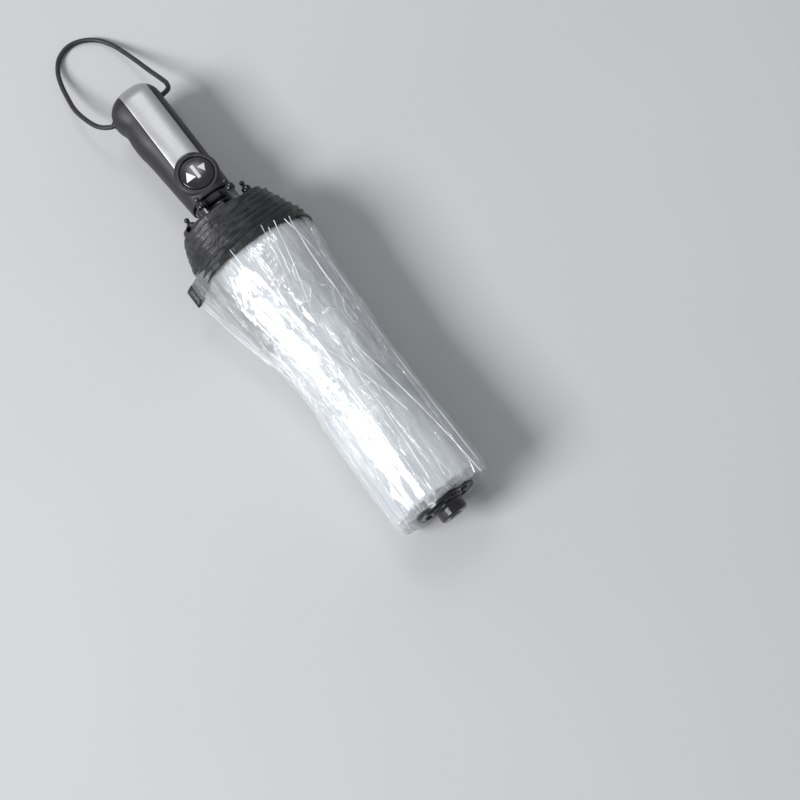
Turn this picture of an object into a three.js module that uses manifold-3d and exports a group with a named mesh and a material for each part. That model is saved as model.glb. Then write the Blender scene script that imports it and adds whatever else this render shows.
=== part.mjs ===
// Clear three-fold automatic umbrella, folded and lying on its side.
// Millimetres, +Z up. Inside the model, u runs along the pole from the handle's end
// (u = 0) to the ferrule's tip, r is the distance from the pole's axis, and t is the
// distance across a spoke's plane. The last group puts the middle of the umbrella's
// box, at the level of the surface it lies on, at the origin.
import * as THREE from 'three';
import { mergeVertices } from 'three/addons/utils/BufferGeometryUtils.js';
import Module from 'manifold-3d';

const wasm = await Module();
wasm.setup();

// ---------------------------------------------------------------- driving sizes
const GAP = 0.3; // between pieces that seat on each other
const SPOKES = 6;
const SPOKE_ANGLE = (2 * Math.PI) / SPOKES;
const ROUND_SIDES = 24;

// Pole
const OUTER_TUBE_RADIUS = 7.5;
const TUBE_WALL = 0.6;
const TUBE_STAGGER = 4; // each tube starts this much further in than the last

// Handle. Its walls are measured from the mouth that the runner enters.
const HANDLE_LENGTH = 82;
const HANDLE_DOME = 12; // length of the rounded end
const MOUTH_DEPTH = 3.5;
const MOUTH_PLAY = 0.5;
const THUMB_WALL = 1.4; // towards +Y
const PALM_WALL = 6.2; // towards -Y where the dome meets the grip
const PALM_WALL_AT_RIM = 1.7;
const TOP_WALL = 2.7;
const TOP_WALL_AT_RIM = 1.7;
const GRIP_SQUARENESS = 2.5; // superellipse exponent of the grip's section
const INLAY_HALF_WIDTH = 8.3;
const INLAY_THICKNESS = 1.2;
const INLAY_LOWEST = -2; // how far down the domed end it wraps

const BUTTON_TO_RIM = 13.5;
const BUTTON_RADIUS = 9.5;
const BUTTON_HEIGHT = 3;
const BUTTON_PROUD = 0.1; // above the grip's crown
const COLLAR_WALL = 2.4; // of the raised collar round the button
const COLLAR_SUNK = 1;
const SPRING_RADIUS = 3.5;
const SPRING_WIRE_RADIUS = 0.4;
const SPRING_TURNS = 3;

const CORD_RADIUS = 1.4;
const CORD_U = 12;
const CORD_HOLE_PLAY = 0.5;
const ANCHOR_LENGTH = 10;

// Ribs, stretchers and their hinges
const RIB_HALF_HEIGHT = 1.5;
const RIB_THICKNESS = 2;
const SIDE_THICKNESS = 1.6; // bars that lie beside the ribs' own layer
const PIN_RADIUS = 0.5;
const WIRE_RADIUS = 0.5;
const PIVOT_PLAY = 0.3;
const STRETCHER_LENGTH = 90;
const FOLDED_RIBS = 203; // from the handle's rim to the notch's hinges
const TIP_BALL_RADIUS = 1.5;
const TIP_CAP_RADIUS = 2.8;
const TIP_CAP_LENGTH = 4.5;

// Runner and top notch
const SLEEVE_WALL = 1.4;
const SKIRT_WALL = 3.5;
const COLLAR_STEP = 1.3;
const RUNNER_LENGTH = 31;
const CROWN_LENGTH = 10;
const CROWN_EDGE = 0.4; // of the crown outside the wire ring's corners
const HINGE_TO_CROWN_END = 5;
const NOTCH_BELOW_HINGE = 9;
const NOTCH_ABOVE_HINGE = 4.3;

// Top end
const ROSETTE_RADIUS = 17.5;
const ROSETTE_THICKNESS = 2.4;
const FERRULE_RADIUS = 8;
const FERRULE_HEIGHT = 7.7;

// ---------------------------------------------------------------- what follows
const tubeBore = OUTER_TUBE_RADIUS + GAP;
const middleRadius = OUTER_TUBE_RADIUS - TUBE_WALL - GAP;
const innerRadius = middleRadius - TUBE_WALL - GAP;
const innerBore = innerRadius - TUBE_WALL;

const sleeveRadius = tubeBore + SLEEVE_WALL;
const skirtRadius = tubeBore + SKIRT_WALL;
const mouthRadius = skirtRadius + MOUTH_PLAY;
const hingeRadius = sleeveRadius + GAP + RIB_HALF_HEIGHT;
const wireCorner = hingeRadius / Math.cos(SPOKE_ANGLE / 2);
const crownRadius = wireCorner + WIRE_RADIUS + CROWN_EDGE;

// Hinges of one spoke, folded: u along the pole, r from its axis.
const notchHinge = { u: HANDLE_LENGTH + FOLDED_RIBS, r: hingeRadius };
const elbow1 = { u: HANDLE_LENGTH + 32, r: hingeRadius + 1.2 }; // inner rib to middle rib
const elbow2 = { u: notchHinge.u - 5, r: hingeRadius + 5.4 }; // middle rib to outer rib
const ribTip = { u: HANDLE_LENGTH + 0.5, r: hingeRadius + 7.4 };
const runnerHinge = { u: HANDLE_LENGTH + 23, r: hingeRadius };

const notchStart = notchHinge.u - NOTCH_BELOW_HINGE;
const notchEnd = notchHinge.u + NOTCH_ABOVE_HINGE;
const rosetteStart = notchEnd + GAP;
const rosetteEnd = rosetteStart + ROSETTE_THICKNESS;
const ferruleStart = rosetteEnd + GAP;
const ferruleEnd = ferruleStart + FERRULE_HEIGHT;

// ---------------------------------------------------------------- folded canopy's sizes
const PLEAT_WIDTH = 4.6;
const PLEAT_THICKNESS = 2.3;
const PLEAT_PITCH = 3;
const pleatInnerRadius = hingeRadius + 0.5;
const pleatStart = elbow1.u + 2;
const pleatEnd = notchStart - 2;

const bundleBore = ribTip.r + 2.6; // room for the ribs inside the folded canopy
const hemStart = HANDLE_LENGTH + 8;
const hemEnd = hemStart + 26;
const filmEnd = rosetteEnd;
const REST_THICKNESS = 5; // of the folded canopy under the ribs, where it lies flat
const ROUND_THICKNESS = 7; // the same before the surface flattens it
// Thickness of the folded canopy over its bore: u, at -Y, at +Y, above.
const hemOutline = [
  [hemStart, 3, 2, 2],
  [hemStart + 4, 7, 5, 4],
  [hemStart + 10, 9.5, 7, 6],
  [hemStart + 18, 10, 10, 7],
  [hemEnd, 10, 12, 7],
];
const filmOutline = [
  [hemEnd + GAP, 10, 12, 7],
  [hemEnd + 8, 18, 13.6, 9],
  [hemEnd + 28, 16, 10, 8],
  [hemEnd + 49, 11, 8, 7],
  [hemEnd + 74, 4.5, 5.8, 6],
  [notchHinge.u - 49, 7, 8, 6.5],
  [notchHinge.u, 6.5, 8, 6.5],
  [filmEnd, 4.5, 5, 4.5],
];
const STRAP_REACH = 21; // outer edge of the tie strap outside the bore
const STRAP_THICKNESS = 5;

// Wrist cord from the handle's palm side round to its thumb side: u, y, z. It is drawn for
// a handle with ROUTE_BORE, and grows wider with the bore that its ends enter.
const ROUTE_BORE = 7.8;
const CORD_ROUTE = [
  [12, -7.8, 0], [12, -15, 0], [11.7, -18.8, -0.3], [8.8, -22.4, -2.4], [3.3, -25.6, -5.8],
  [-6.2, -28, -9.9], [-16.5, -29, -13.7], [-26.8, -27.9, -17.1], [-38.2, -25.8, -20.4],
  [-47.5, -22.6, -22.8], [-55, -17, -24.3], [-58.3, -9, -24.4], [-57, -1, -24.4],
  [-51.6, 7, -24.2], [-42.9, 12, -22.5], [-33.4, 14.5, -19.6], [-23.7, 16.3, -16.2],
  [-9.9, 18.3, -10.8], [0, 19.8, -6.4], [6, 20.2, -3.3], [10.4, 18.6, -1.1], [12, 14.6, 0],
  [12, 7.8, 0]];
const CORD_STEPS = 44;

// ---------------------------------------------------------------- materials
const finish = (color, roughness, metalness = 0) =>
  new THREE.MeshStandardMaterial({ color, roughness, metalness });
const BLACK_GRIP = finish(0x1b1b1c, 0.55);
const BLACK_GLOSS = finish(0x0c0c0d, 0.18);
const BLACK_FABRIC = finish(0x17181a, 0.6);
const BLACK_CORD = finish(0x121213, 0.7);
const SILVER = finish(0xb9babd, 0.38, 0.8);
const STEEL = finish(0xc6c8ca, 0.25, 1);
const RIB_ALLOY = finish(0xcfd0d2, 0.4, 0.9);
const WHITE_RIB = finish(0xe9eaea, 0.4);
const CLEAR_FILM = finish(0xe8eef0, 0.08);
CLEAR_FILM.transparent = true;
CLEAR_FILM.opacity = 0.5;

// ---------------------------------------------------------------- solids
// A closed geometry as a manifold with its faces pointing out.
function solid(geometry) {
  const bare = geometry.clone();
  bare.deleteAttribute('normal');
  bare.deleteAttribute('uv');
  const merged = mergeVertices(bare, 1e-4);
  const p = merged.attributes.position.array;
  const tris = Uint32Array.from(merged.index.array);
  let volume = 0;
  const a = new THREE.Vector3();
  const b = new THREE.Vector3();
  const c = new THREE.Vector3();
  for (let k = 0; k < tris.length; k += 3) {
    a.fromArray(p, 3 * tris[k]);
    b.fromArray(p, 3 * tris[k + 1]);
    c.fromArray(p, 3 * tris[k + 2]);
    volume += a.dot(b.cross(c));
  }
  if (volume < 0) {
    for (let k = 0; k < tris.length; k += 3) {
      [tris[k + 1], tris[k + 2]] = [tris[k + 2], tris[k + 1]];
    }
  }
  const mesh = new wasm.Mesh({ numProp: 3, vertProperties: Float32Array.from(p), triVerts: tris });
  return new wasm.Manifold(mesh);
}

function geometryOf(manifold) {
  const mesh = manifold.getMesh();
  const geometry = new THREE.BufferGeometry();
  geometry.setAttribute('position', new THREE.BufferAttribute(mesh.vertProperties, 3));
  geometry.setIndex(new THREE.BufferAttribute(mesh.triVerts, 1));
  geometry.computeVertexNormals();
  return geometry;
}

const minus = (body, ...tools) => tools.reduce((left, tool) => left.subtract(tool), body);
const plus = (body, ...others) => others.reduce((sum, other) => sum.add(other), body);

// A body of revolution about the pole from [u, r] points.
function turned(profile, sides = ROUND_SIDES) {
  const points = profile.map(([u, r]) => new THREE.Vector2(r, u));
  return solid(new THREE.LatheGeometry(points, sides).rotateZ(-Math.PI / 2));
}

const rod = (start, end, radius, sides = ROUND_SIDES) =>
  turned([[start, 0], [start, radius], [end, radius], [end, 0]], sides);

const tube = (start, end, outer, inner) =>
  turned([[start, inner], [start, outer], [end, outer], [end, inner], [start, inner]]);

// A round post along +Z at a place along the pole.
function post(u, low, high, radius) {
  const geometry = new THREE.CylinderGeometry(radius, radius, high - low, ROUND_SIDES);
  return solid(geometry.rotateX(Math.PI / 2).translate(u, 0, (low + high) / 2));
}

// Moves every vertex of a body of revolution of radius 1 to a new outline.
function reshaped(profile, sides, place) {
  const points = profile.map(([u, r]) => new THREE.Vector2(r, u));
  const geometry = new THREE.LatheGeometry(points, sides).rotateZ(-Math.PI / 2);
  const position = geometry.attributes.position;
  for (let k = 0; k < position.count; k++) {
    const [y, z] = place(position.getX(k), position.getY(k), position.getZ(k));
    position.setXYZ(k, position.getX(k), y, z);
  }
  return solid(geometry);
}

const restHeight = bundleBore + REST_THICKNESS; // pole's axis above the surface
const thumbReach = Math.max(...filmOutline.map((station) => station[2]));
const model = new THREE.Group();
model.position.set(-ferruleEnd / 2, (STRAP_REACH - thumbReach) / 2, restHeight);

function addMesh(name, geometry, material, parent = model) {
  const mesh = new THREE.Mesh(geometry, material);
  mesh.name = name;
  parent.add(mesh);
  return mesh;
}

const add = (name, manifold, material, parent) =>
  addMesh(name, geometryOf(manifold), material, parent);

// ---------------------------------------------------------------- handle
// The grip's outer form, or a smaller one inside it.
function grip(inset) {
  const steps = 5;
  const dome = HANDLE_DOME - inset;
  const profile = [];
  for (let k = 0; k <= steps; k++) {
    const angle = (k / steps) * (Math.PI / 2);
    profile.push([HANDLE_DOME - dome * Math.cos(angle), Math.sin(angle)]);
  }
  profile.push([HANDLE_LENGTH, 1], [HANDLE_LENGTH, 0]);
  return reshaped(profile, 32, (u, y, z) => {
    const along = Math.max(0, (u - HANDLE_DOME) / (HANDLE_LENGTH - HANDLE_DOME));
    const palm = mouthRadius + PALM_WALL + along * (PALM_WALL_AT_RIM - PALM_WALL);
    const height = mouthRadius + TOP_WALL + along * (TOP_WALL_AT_RIM - TOP_WALL);
    const radius = Math.hypot(y, z);
    if (radius < 1e-6) return [0, 0];
    const side = y < 0 ? palm : mouthRadius + THUMB_WALL;
    const squared = (value) =>
      Math.sign(value) * Math.abs(value / radius) ** (2 / GRIP_SQUARENESS) * radius;
    return [squared(y) * (side - inset), squared(z) * (height - inset)];
  });
}

const gripTop = mouthRadius + TOP_WALL;
const buttonU = HANDLE_LENGTH - BUTTON_TO_RIM;
const buttonTop = gripTop + BUTTON_PROUD;
const buttonBottom = buttonTop - BUTTON_HEIGHT;
const pocketRadius = BUTTON_RADIUS + GAP;
const collarRadius = pocketRadius + COLLAR_WALL;

// The strip that the inlay fills: it ends in an arc round the button's collar.
function inlayStrip(play) {
  const half = INLAY_HALF_WIDTH + play;
  const arc = collarRadius + GAP - play;
  const sweep = Math.asin(half / arc);
  const outline = new THREE.Shape();
  outline.moveTo(-2, -half);
  outline.lineTo(buttonU - arc * Math.cos(sweep), -half);
  outline.absarc(buttonU, 0, arc, Math.PI + sweep, Math.PI - sweep, true);
  outline.lineTo(-2, half);
  const depth = 2 * gripTop;
  const geometry = new THREE.ExtrudeGeometry(outline, { depth, bevelEnabled: false, curveSegments: 8 });
  return solid(geometry.translate(0, 0, INLAY_LOWEST - play));
}

const anchorStart = CORD_U - ANCHOR_LENGTH / 2;
const acrossHole = (radius) =>
  solid(new THREE.CylinderGeometry(radius, radius, 4 * gripTop, 12).translate(CORD_U, 0, 0));

const inlayRecess = minus(inlayStrip(GAP), grip(INLAY_THICKNESS + GAP));
add('handle_shell', minus(
  plus(minus(grip(0), inlayRecess),
    post(buttonU, 0, gripTop - COLLAR_SUNK, collarRadius)),
  rod(anchorStart - GAP, HANDLE_LENGTH + 1, tubeBore),
  rod(HANDLE_LENGTH - MOUTH_DEPTH, HANDLE_LENGTH + 1, mouthRadius),
  post(buttonU, OUTER_TUBE_RADIUS - 1.5, gripTop + 5, pocketRadius),
  acrossHole(CORD_RADIUS + CORD_HOLE_PLAY)), BLACK_GRIP);
add('handle_inlay', inlayStrip(0).intersect(grip(0)).subtract(grip(INLAY_THICKNESS)), SILVER);

// Button: a disc with a dished face, held up by a small coil spring on the tube.
const buttonProfile = [
  [0, buttonBottom],
  [BUTTON_RADIUS, buttonBottom],
  [BUTTON_RADIUS, buttonTop - 0.8],
  [BUTTON_RADIUS - 0.8, buttonTop],
  [BUTTON_RADIUS - 1.8, buttonTop - 0.3],
  [0, buttonTop - 0.9],
].map(([r, z]) => new THREE.Vector2(r, z));
addMesh('push_button', geometryOf(solid(
  new THREE.LatheGeometry(buttonProfile, 32).rotateX(Math.PI / 2).translate(buttonU, 0, 0))),
BLACK_GLOSS);

class Helix extends THREE.Curve {
  getPoint(share, target = new THREE.Vector3()) {
    const low = OUTER_TUBE_RADIUS + GAP + SPRING_WIRE_RADIUS;
    const high = buttonBottom - GAP - SPRING_WIRE_RADIUS;
    const angle = share * SPRING_TURNS * 2 * Math.PI;
    return target.set(buttonU + SPRING_RADIUS * Math.cos(angle),
      SPRING_RADIUS * Math.sin(angle), low + share * (high - low));
  }
}

// A round bar of the given radius swept along a curve.
function swept(curve, radius, sides, steps) {
  const section = new THREE.Shape();
  for (let k = 0; k < sides; k++) {
    const angle = (k / sides) * 2 * Math.PI;
    const [x, y] = [radius * Math.cos(angle), radius * Math.sin(angle)];
    if (k === 0) section.moveTo(x, y);
    else section.lineTo(x, y);
  }
  return solid(new THREE.ExtrudeGeometry(section, { steps, extrudePath: curve, bevelEnabled: false }));
}

add('button_spring', swept(new Helix(), SPRING_WIRE_RADIUS, 6, 12 * SPRING_TURNS), STEEL);

const anchorEnd = anchorStart + ANCHOR_LENGTH;
add('cord_anchor', rod(anchorStart, anchorEnd, OUTER_TUBE_RADIUS), BLACK_GLOSS);
const cordCurve = new THREE.CatmullRomCurve3(CORD_ROUTE.map(
  ([u, y, z]) => new THREE.Vector3(u, (y * tubeBore) / ROUTE_BORE, z)));
add('wrist_cord', swept(cordCurve, CORD_RADIUS, 8, CORD_STEPS), BLACK_CORD);

// ---------------------------------------------------------------- pole
const outerTubeStart = anchorEnd + GAP;
const outerTubeEnd = notchStart - 2 * TUBE_STAGGER;
const innerTubeEnd = notchHinge.u - 1;
add('outer_tube', tube(outerTubeStart, outerTubeEnd, OUTER_TUBE_RADIUS,
  OUTER_TUBE_RADIUS - TUBE_WALL), STEEL);
add('middle_tube', tube(outerTubeStart + TUBE_STAGGER, outerTubeEnd + TUBE_STAGGER,
  middleRadius, middleRadius - TUBE_WALL), STEEL);
add('inner_tube', tube(outerTubeStart + 2 * TUBE_STAGGER, innerTubeEnd, innerRadius, innerBore),
  STEEL);

// A slotted crown: one slot for each spoke's bar, and a groove for the wire ring
// that threads through them all.
function crown(body, pivot, slotCentre, slotWidth) {
  const floor = sleeveRadius;
  const wireFloor = pivot.r - WIRE_RADIUS - GAP;
  const half = WIRE_RADIUS + 0.4;
  const slots = [];
  for (let k = 0; k < SPOKES; k++) {
    const slot = new THREE.BoxGeometry(2 * CROWN_LENGTH, crownRadius, slotWidth);
    slot.translate(pivot.u, floor + crownRadius / 2, slotCentre);
    slots.push(solid(slot.rotateX(k * SPOKE_ANGLE)));
  }
  const groove = turned([[pivot.u - half, wireFloor], [pivot.u - half, crownRadius + 1],
    [pivot.u + half, crownRadius + 1], [pivot.u + half, wireFloor],
    [pivot.u - half, wireFloor]]);
  return minus(body, ...slots, groove);
}

// The wire ring is straight across each spoke, so it is its hinge pin.
function wireRing(pivot) {
  const ring = new THREE.TorusGeometry(wireCorner, WIRE_RADIUS, 6, SPOKES);
  return solid(ring.rotateZ(SPOKE_ANGLE / 2).rotateY(Math.PI / 2).rotateX(Math.PI / 2)
    .translate(pivot.u, 0, 0));
}

const sideSlot = SIDE_THICKNESS + 2 * PIVOT_PLAY;
const sideLayer = RIB_THICKNESS / 2 + PIVOT_PLAY + SIDE_THICKNESS / 2;
const runnerEnd = runnerHinge.u + HINGE_TO_CROWN_END;
const runnerStart = runnerEnd - RUNNER_LENGTH;
const crownStart = runnerEnd - CROWN_LENGTH;
const collarStart = HANDLE_LENGTH + 1;
const runnerBody = turned([
  [runnerStart, tubeBore],
  [runnerStart, skirtRadius - 1],
  [runnerStart + 1, skirtRadius],
  [collarStart, skirtRadius],
  [collarStart, skirtRadius + COLLAR_STEP],
  [collarStart + 3, skirtRadius + COLLAR_STEP],
  [collarStart + 5, sleeveRadius + 1],
  [crownStart - 2, sleeveRadius + 1],
  [crownStart, crownRadius],
  [runnerEnd, crownRadius],
  [runnerEnd, tubeBore],
  [runnerStart, tubeBore],
]);
add('runner', crown(runnerBody, runnerHinge, -sideLayer, sideSlot), BLACK_GLOSS);
add('runner_wire', wireRing(runnerHinge), STEEL);

const stemRadius = innerBore - GAP;
const notchBody = turned([
  [notchStart, innerRadius + GAP],
  [notchStart, crownRadius - 1],
  [notchStart + 1, crownRadius],
  [notchEnd, crownRadius],
  [notchEnd, innerBore],
  [innerTubeEnd + GAP, innerBore],
  [innerTubeEnd + GAP, innerRadius + GAP],
  [notchStart, innerRadius + GAP],
]);
add('top_notch', crown(notchBody, notchHinge, 0, RIB_THICKNESS + 2 * PIVOT_PLAY), BLACK_GLOSS);
add('notch_wire', wireRing(notchHinge), STEEL);

// ---------------------------------------------------------------- top end
add('rosette', turned([
  [rosetteStart, innerBore],
  [rosetteStart, ROSETTE_RADIUS],
  [rosetteEnd - 1, ROSETTE_RADIUS],
  [rosetteEnd, ROSETTE_RADIUS - 1.5],
  [rosetteEnd, innerBore],
  [rosetteStart, innerBore],
]), BLACK_GLOSS);
add('ferrule_cap', turned([
  [notchStart + 2, 0],
  [notchStart + 2, stemRadius],
  [ferruleStart, stemRadius],
  [ferruleStart, FERRULE_RADIUS + 1],
  [ferruleStart + 1.5, FERRULE_RADIUS + 1],
  [ferruleStart + 3, FERRULE_RADIUS],
  [ferruleEnd - 1, FERRULE_RADIUS],
  [ferruleEnd, FERRULE_RADIUS - 1],
  [ferruleEnd, 0],
]), BLACK_GLOSS);

// ---------------------------------------------------------------- folded canopy
// The outer form over an outline's stations; the surface flattens it underneath.
function bundle(outline) {
  const profile = outline.map((station) => [station[0], 1]);
  profile.unshift([outline[0][0], 0]);
  profile.push([outline.at(-1)[0], 0]);
  return reshaped(profile, ROUND_SIDES, (u, y, z) => {
    const station = outline.find((candidate) => Math.abs(candidate[0] - u) < 1e-3);
    const [, palm, thumb, top] = station;
    const across = bundleBore + (y < 0 ? palm : thumb);
    const upright = bundleBore + (z < 0 ? ROUND_THICKNESS : top);
    return [y * across, Math.max(-restHeight, z * upright)];
  });
}

add('hem_band', minus(bundle(hemOutline), rod(hemStart - 1, hemEnd + 1, bundleBore)),
  BLACK_FABRIC);

// The film closes in under the rosette, which clamps it on the notch.
const filmInside = turned([
  [hemEnd - 1, 0],
  [hemEnd - 1, bundleBore],
  [notchEnd - 4, bundleBore],
  [notchEnd - 2.3, bundleBore - 2],
  [notchEnd - 2.3, crownRadius + GAP],
  [notchEnd, crownRadius + GAP],
  [notchEnd, ROSETTE_RADIUS + GAP],
  [filmEnd + 1, ROSETTE_RADIUS + GAP],
  [filmEnd + 1, 0],
]);
add('canopy_film', minus(bundle(filmOutline), filmInside), CLEAR_FILM);

// Tie strap: its end stands off the hem on the palm side.
function strapGeometry() {
  const root = bundleBore + hemOutline.at(-1)[1] + GAP;
  const reach = bundleBore + STRAP_REACH;
  const outline = new THREE.Shape();
  outline.moveTo(hemEnd - 7.5, -root);
  outline.lineTo(hemEnd, -root);
  outline.lineTo(hemEnd + 3, -root - 5);
  outline.lineTo(hemEnd + 3.5, -reach);
  outline.lineTo(hemEnd - 4, -reach);
  outline.lineTo(hemEnd - 7.5, -reach + 4);
  const options = { depth: STRAP_THICKNESS, bevelEnabled: false };
  return new THREE.ExtrudeGeometry(outline, options).translate(0, 0, -STRAP_THICKNESS / 2);
}
add('tie_strap', solid(strapGeometry()), BLACK_FABRIC);

// ---------------------------------------------------------------- ribs
const holeRadius = PIN_RADIUS + PIVOT_PLAY;

// A flat bar with round ends from its pivot to its far end, drilled where asked.
function bar(length, thickness, layer, holes) {
  const outline = new THREE.Shape();
  outline.absarc(0, 0, RIB_HALF_HEIGHT, Math.PI / 2, (3 * Math.PI) / 2, false);
  outline.absarc(length, 0, RIB_HALF_HEIGHT, -Math.PI / 2, Math.PI / 2, false);
  for (const at of holes) {
    const hole = new THREE.Path();
    hole.absarc(at, 0, holeRadius, 0, 2 * Math.PI, true);
    outline.holes.push(hole);
  }
  const options = { depth: thickness, bevelEnabled: false, curveSegments: 3 };
  return solid(new THREE.ExtrudeGeometry(outline, options)
    .translate(0, 0, layer - thickness / 2));
}

// A pin that stands out of a side bar through its neighbour in the ribs' layer.
function pin(at) {
  const low = -RIB_THICKNESS / 2;
  const high = sideLayer;
  const geometry = new THREE.CylinderGeometry(PIN_RADIUS, PIN_RADIUS, high - low, 8);
  return solid(geometry.rotateX(Math.PI / 2).translate(at, 0, (low + high) / 2));
}

const between = (a, b) => Math.hypot(b.u - a.u, b.r - a.r);
const innerLength = between(notchHinge, elbow1);
const middleLength = between(elbow1, elbow2);
const outerLength = between(elbow2, ribTip);

const innerRib = bar(innerLength, RIB_THICKNESS, 0, [0, innerLength]);
const middleRib = plus(bar(middleLength, SIDE_THICKNESS, sideLayer, []), pin(0), pin(middleLength));
const tipBall = solid(new THREE.SphereGeometry(TIP_BALL_RADIUS, 10, 6).translate(outerLength, 0, 0));
const capEnd = outerLength - TIP_BALL_RADIUS - 0.5;
const tipCap = turned([
  [capEnd - TIP_CAP_LENGTH, 0],
  [capEnd - TIP_CAP_LENGTH, TIP_CAP_RADIUS - 0.6],
  [capEnd - TIP_CAP_LENGTH + 1, TIP_CAP_RADIUS],
  [capEnd - 1.5, TIP_CAP_RADIUS],
  [capEnd, TIP_BALL_RADIUS - 0.5],
  [outerLength, TIP_BALL_RADIUS - 0.5],
  [outerLength, 0],
], 10);
const outerRib = plus(bar(outerLength - TIP_BALL_RADIUS, RIB_THICKNESS, 0, [0]), tipCap, tipBall);
const stretcher = bar(STRETCHER_LENGTH, SIDE_THICKNESS, -sideLayer, [0]);

// Puts a bar at its pivot, pointing at another point of the spoke's plane. A bar that
// points back to the handle is turned over lengthwise so that its layer stays put.
function place(name, manifold, material, spoke, pivot, target) {
  const mesh = add(name, manifold, material, spoke);
  mesh.position.set(pivot.u, pivot.r, 0);
  mesh.rotation.z = Math.atan2(target.r - pivot.r, target.u - pivot.u);
}

const share = STRETCHER_LENGTH / innerLength;
const stretcherJoint = {
  u: notchHinge.u + share * (elbow1.u - notchHinge.u),
  r: notchHinge.r + share * (elbow1.r - notchHinge.r),
};

// The folded film between two spokes, one pleat for each fold of the ribs.
function pleat(row) {
  const radius = pleatInnerRadius + PLEAT_THICKNESS / 2 + row * PLEAT_PITCH;
  const geometry = new THREE.BoxGeometry(pleatEnd - pleatStart, PLEAT_THICKNESS, PLEAT_WIDTH);
  return solid(geometry.translate((pleatStart + pleatEnd) / 2, radius, 0));
}

for (let k = 0; k < SPOKES; k++) {
  const n = k + 1;
  const spoke = new THREE.Group();
  spoke.rotation.x = k * SPOKE_ANGLE;
  model.add(spoke);
  place(`inner_rib_${n}`, innerRib, RIB_ALLOY, spoke, notchHinge, elbow1);
  place(`middle_rib_${n}`, middleRib, RIB_ALLOY, spoke, elbow1, elbow2);
  place(`outer_rib_${n}`, outerRib, WHITE_RIB, spoke, elbow2, ribTip);
  place(`stretcher_${n}`, stretcher, RIB_ALLOY, spoke, runnerHinge, stretcherJoint);
  const gore = new THREE.Group();
  gore.rotation.x = (k + 0.5) * SPOKE_ANGLE;
  model.add(gore);
  ['inner', 'middle', 'outer'].forEach((zone, row) => {
    add(`${zone}_pleat_${n}`, pleat(row), CLEAR_FILM, gore);
  });
}

export default model;
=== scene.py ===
"""A folded compact umbrella with a clear film canopy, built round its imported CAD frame."""

import math

import bmesh
import bpy
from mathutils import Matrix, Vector, noise


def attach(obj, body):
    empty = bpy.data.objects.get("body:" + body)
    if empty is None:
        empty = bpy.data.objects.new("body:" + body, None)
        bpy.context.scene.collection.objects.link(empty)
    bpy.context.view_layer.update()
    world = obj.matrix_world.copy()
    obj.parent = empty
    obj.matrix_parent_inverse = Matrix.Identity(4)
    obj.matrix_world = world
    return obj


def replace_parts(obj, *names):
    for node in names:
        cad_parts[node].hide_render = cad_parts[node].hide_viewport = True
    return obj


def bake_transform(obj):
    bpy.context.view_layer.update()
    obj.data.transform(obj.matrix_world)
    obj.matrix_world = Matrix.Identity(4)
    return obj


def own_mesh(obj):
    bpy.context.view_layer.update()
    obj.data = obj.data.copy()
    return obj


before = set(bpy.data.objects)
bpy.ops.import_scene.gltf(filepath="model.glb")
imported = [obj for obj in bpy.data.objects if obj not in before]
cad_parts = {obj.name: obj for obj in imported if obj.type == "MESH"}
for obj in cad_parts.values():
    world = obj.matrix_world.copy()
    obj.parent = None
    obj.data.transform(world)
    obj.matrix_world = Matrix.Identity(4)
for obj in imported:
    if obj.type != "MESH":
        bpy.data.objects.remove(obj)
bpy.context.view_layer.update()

MM = 0.001
SPOKES = 6
TURN = 2 * math.pi
AXIS_X, AXIS_Y, AXIS_Z = 150.0, 3.7, 26.0  # the pole's place in the row frame, mm


def at(u, y, z):
    """A point given along the pole from the handle's end, and off the pole's axis, in mm."""
    return Vector(((u - AXIS_X) * MM, (AXIS_Y + y) * MM, (AXIS_Z + z) * MM))


def smooth(t):
    t = min(1.0, max(0.0, t))
    return t * t * (3 - 2 * t)


def mix(a, b, t):
    return a + (b - a) * t


def bump(x, centre, width):
    return math.exp(-(((x - centre) / width) ** 2))


def along(table, x):
    """Smooth interpolation in a table of [x, value, ...] rows."""
    if x <= table[0][0]:
        return table[0][1:]
    for low, high in zip(table, table[1:]):
        if x <= high[0]:
            t = (x - low[0]) / (high[0] - low[0])
            t = mix(t, smooth(t), 0.6)
            return [mix(a, b, t) for a, b in zip(low[1:], high[1:])]
    return table[-1][1:]


# ------------------------------------------------------------------ meshes
def new_object(name, data):
    obj = bpy.data.objects.new(name, data)
    bpy.context.collection.objects.link(obj)
    return obj


def piece(name, verts, faces, body, material, sharp=40):
    mesh = bpy.data.meshes.new(name)
    mesh.from_pydata([tuple(v) for v in verts], [], faces)
    mesh.validate()
    mesh.materials.append(material)
    obj = new_object(name, mesh)
    finish_mesh(obj, sharp)
    if body:
        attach(obj, body)
    return obj


def finish_mesh(obj, sharp=40, outward=True):
    if outward:
        bm = bmesh.new()
        bm.from_mesh(obj.data)
        bmesh.ops.recalc_face_normals(bm, faces=bm.faces)
        bm.to_mesh(obj.data)
        bm.free()
    obj.data.shade_smooth()
    obj.data.set_sharp_from_angle(angle=math.radians(sharp))


def grid_faces(rows, cols, wrap=False, first=0):
    faces = []
    for i in range(rows - 1):
        for j in range(cols if wrap else cols - 1):
            k = (j + 1) % cols
            faces.append((first + i * cols + j, first + i * cols + k,
                          first + (i + 1) * cols + k, first + (i + 1) * cols + j))
    return faces


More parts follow.
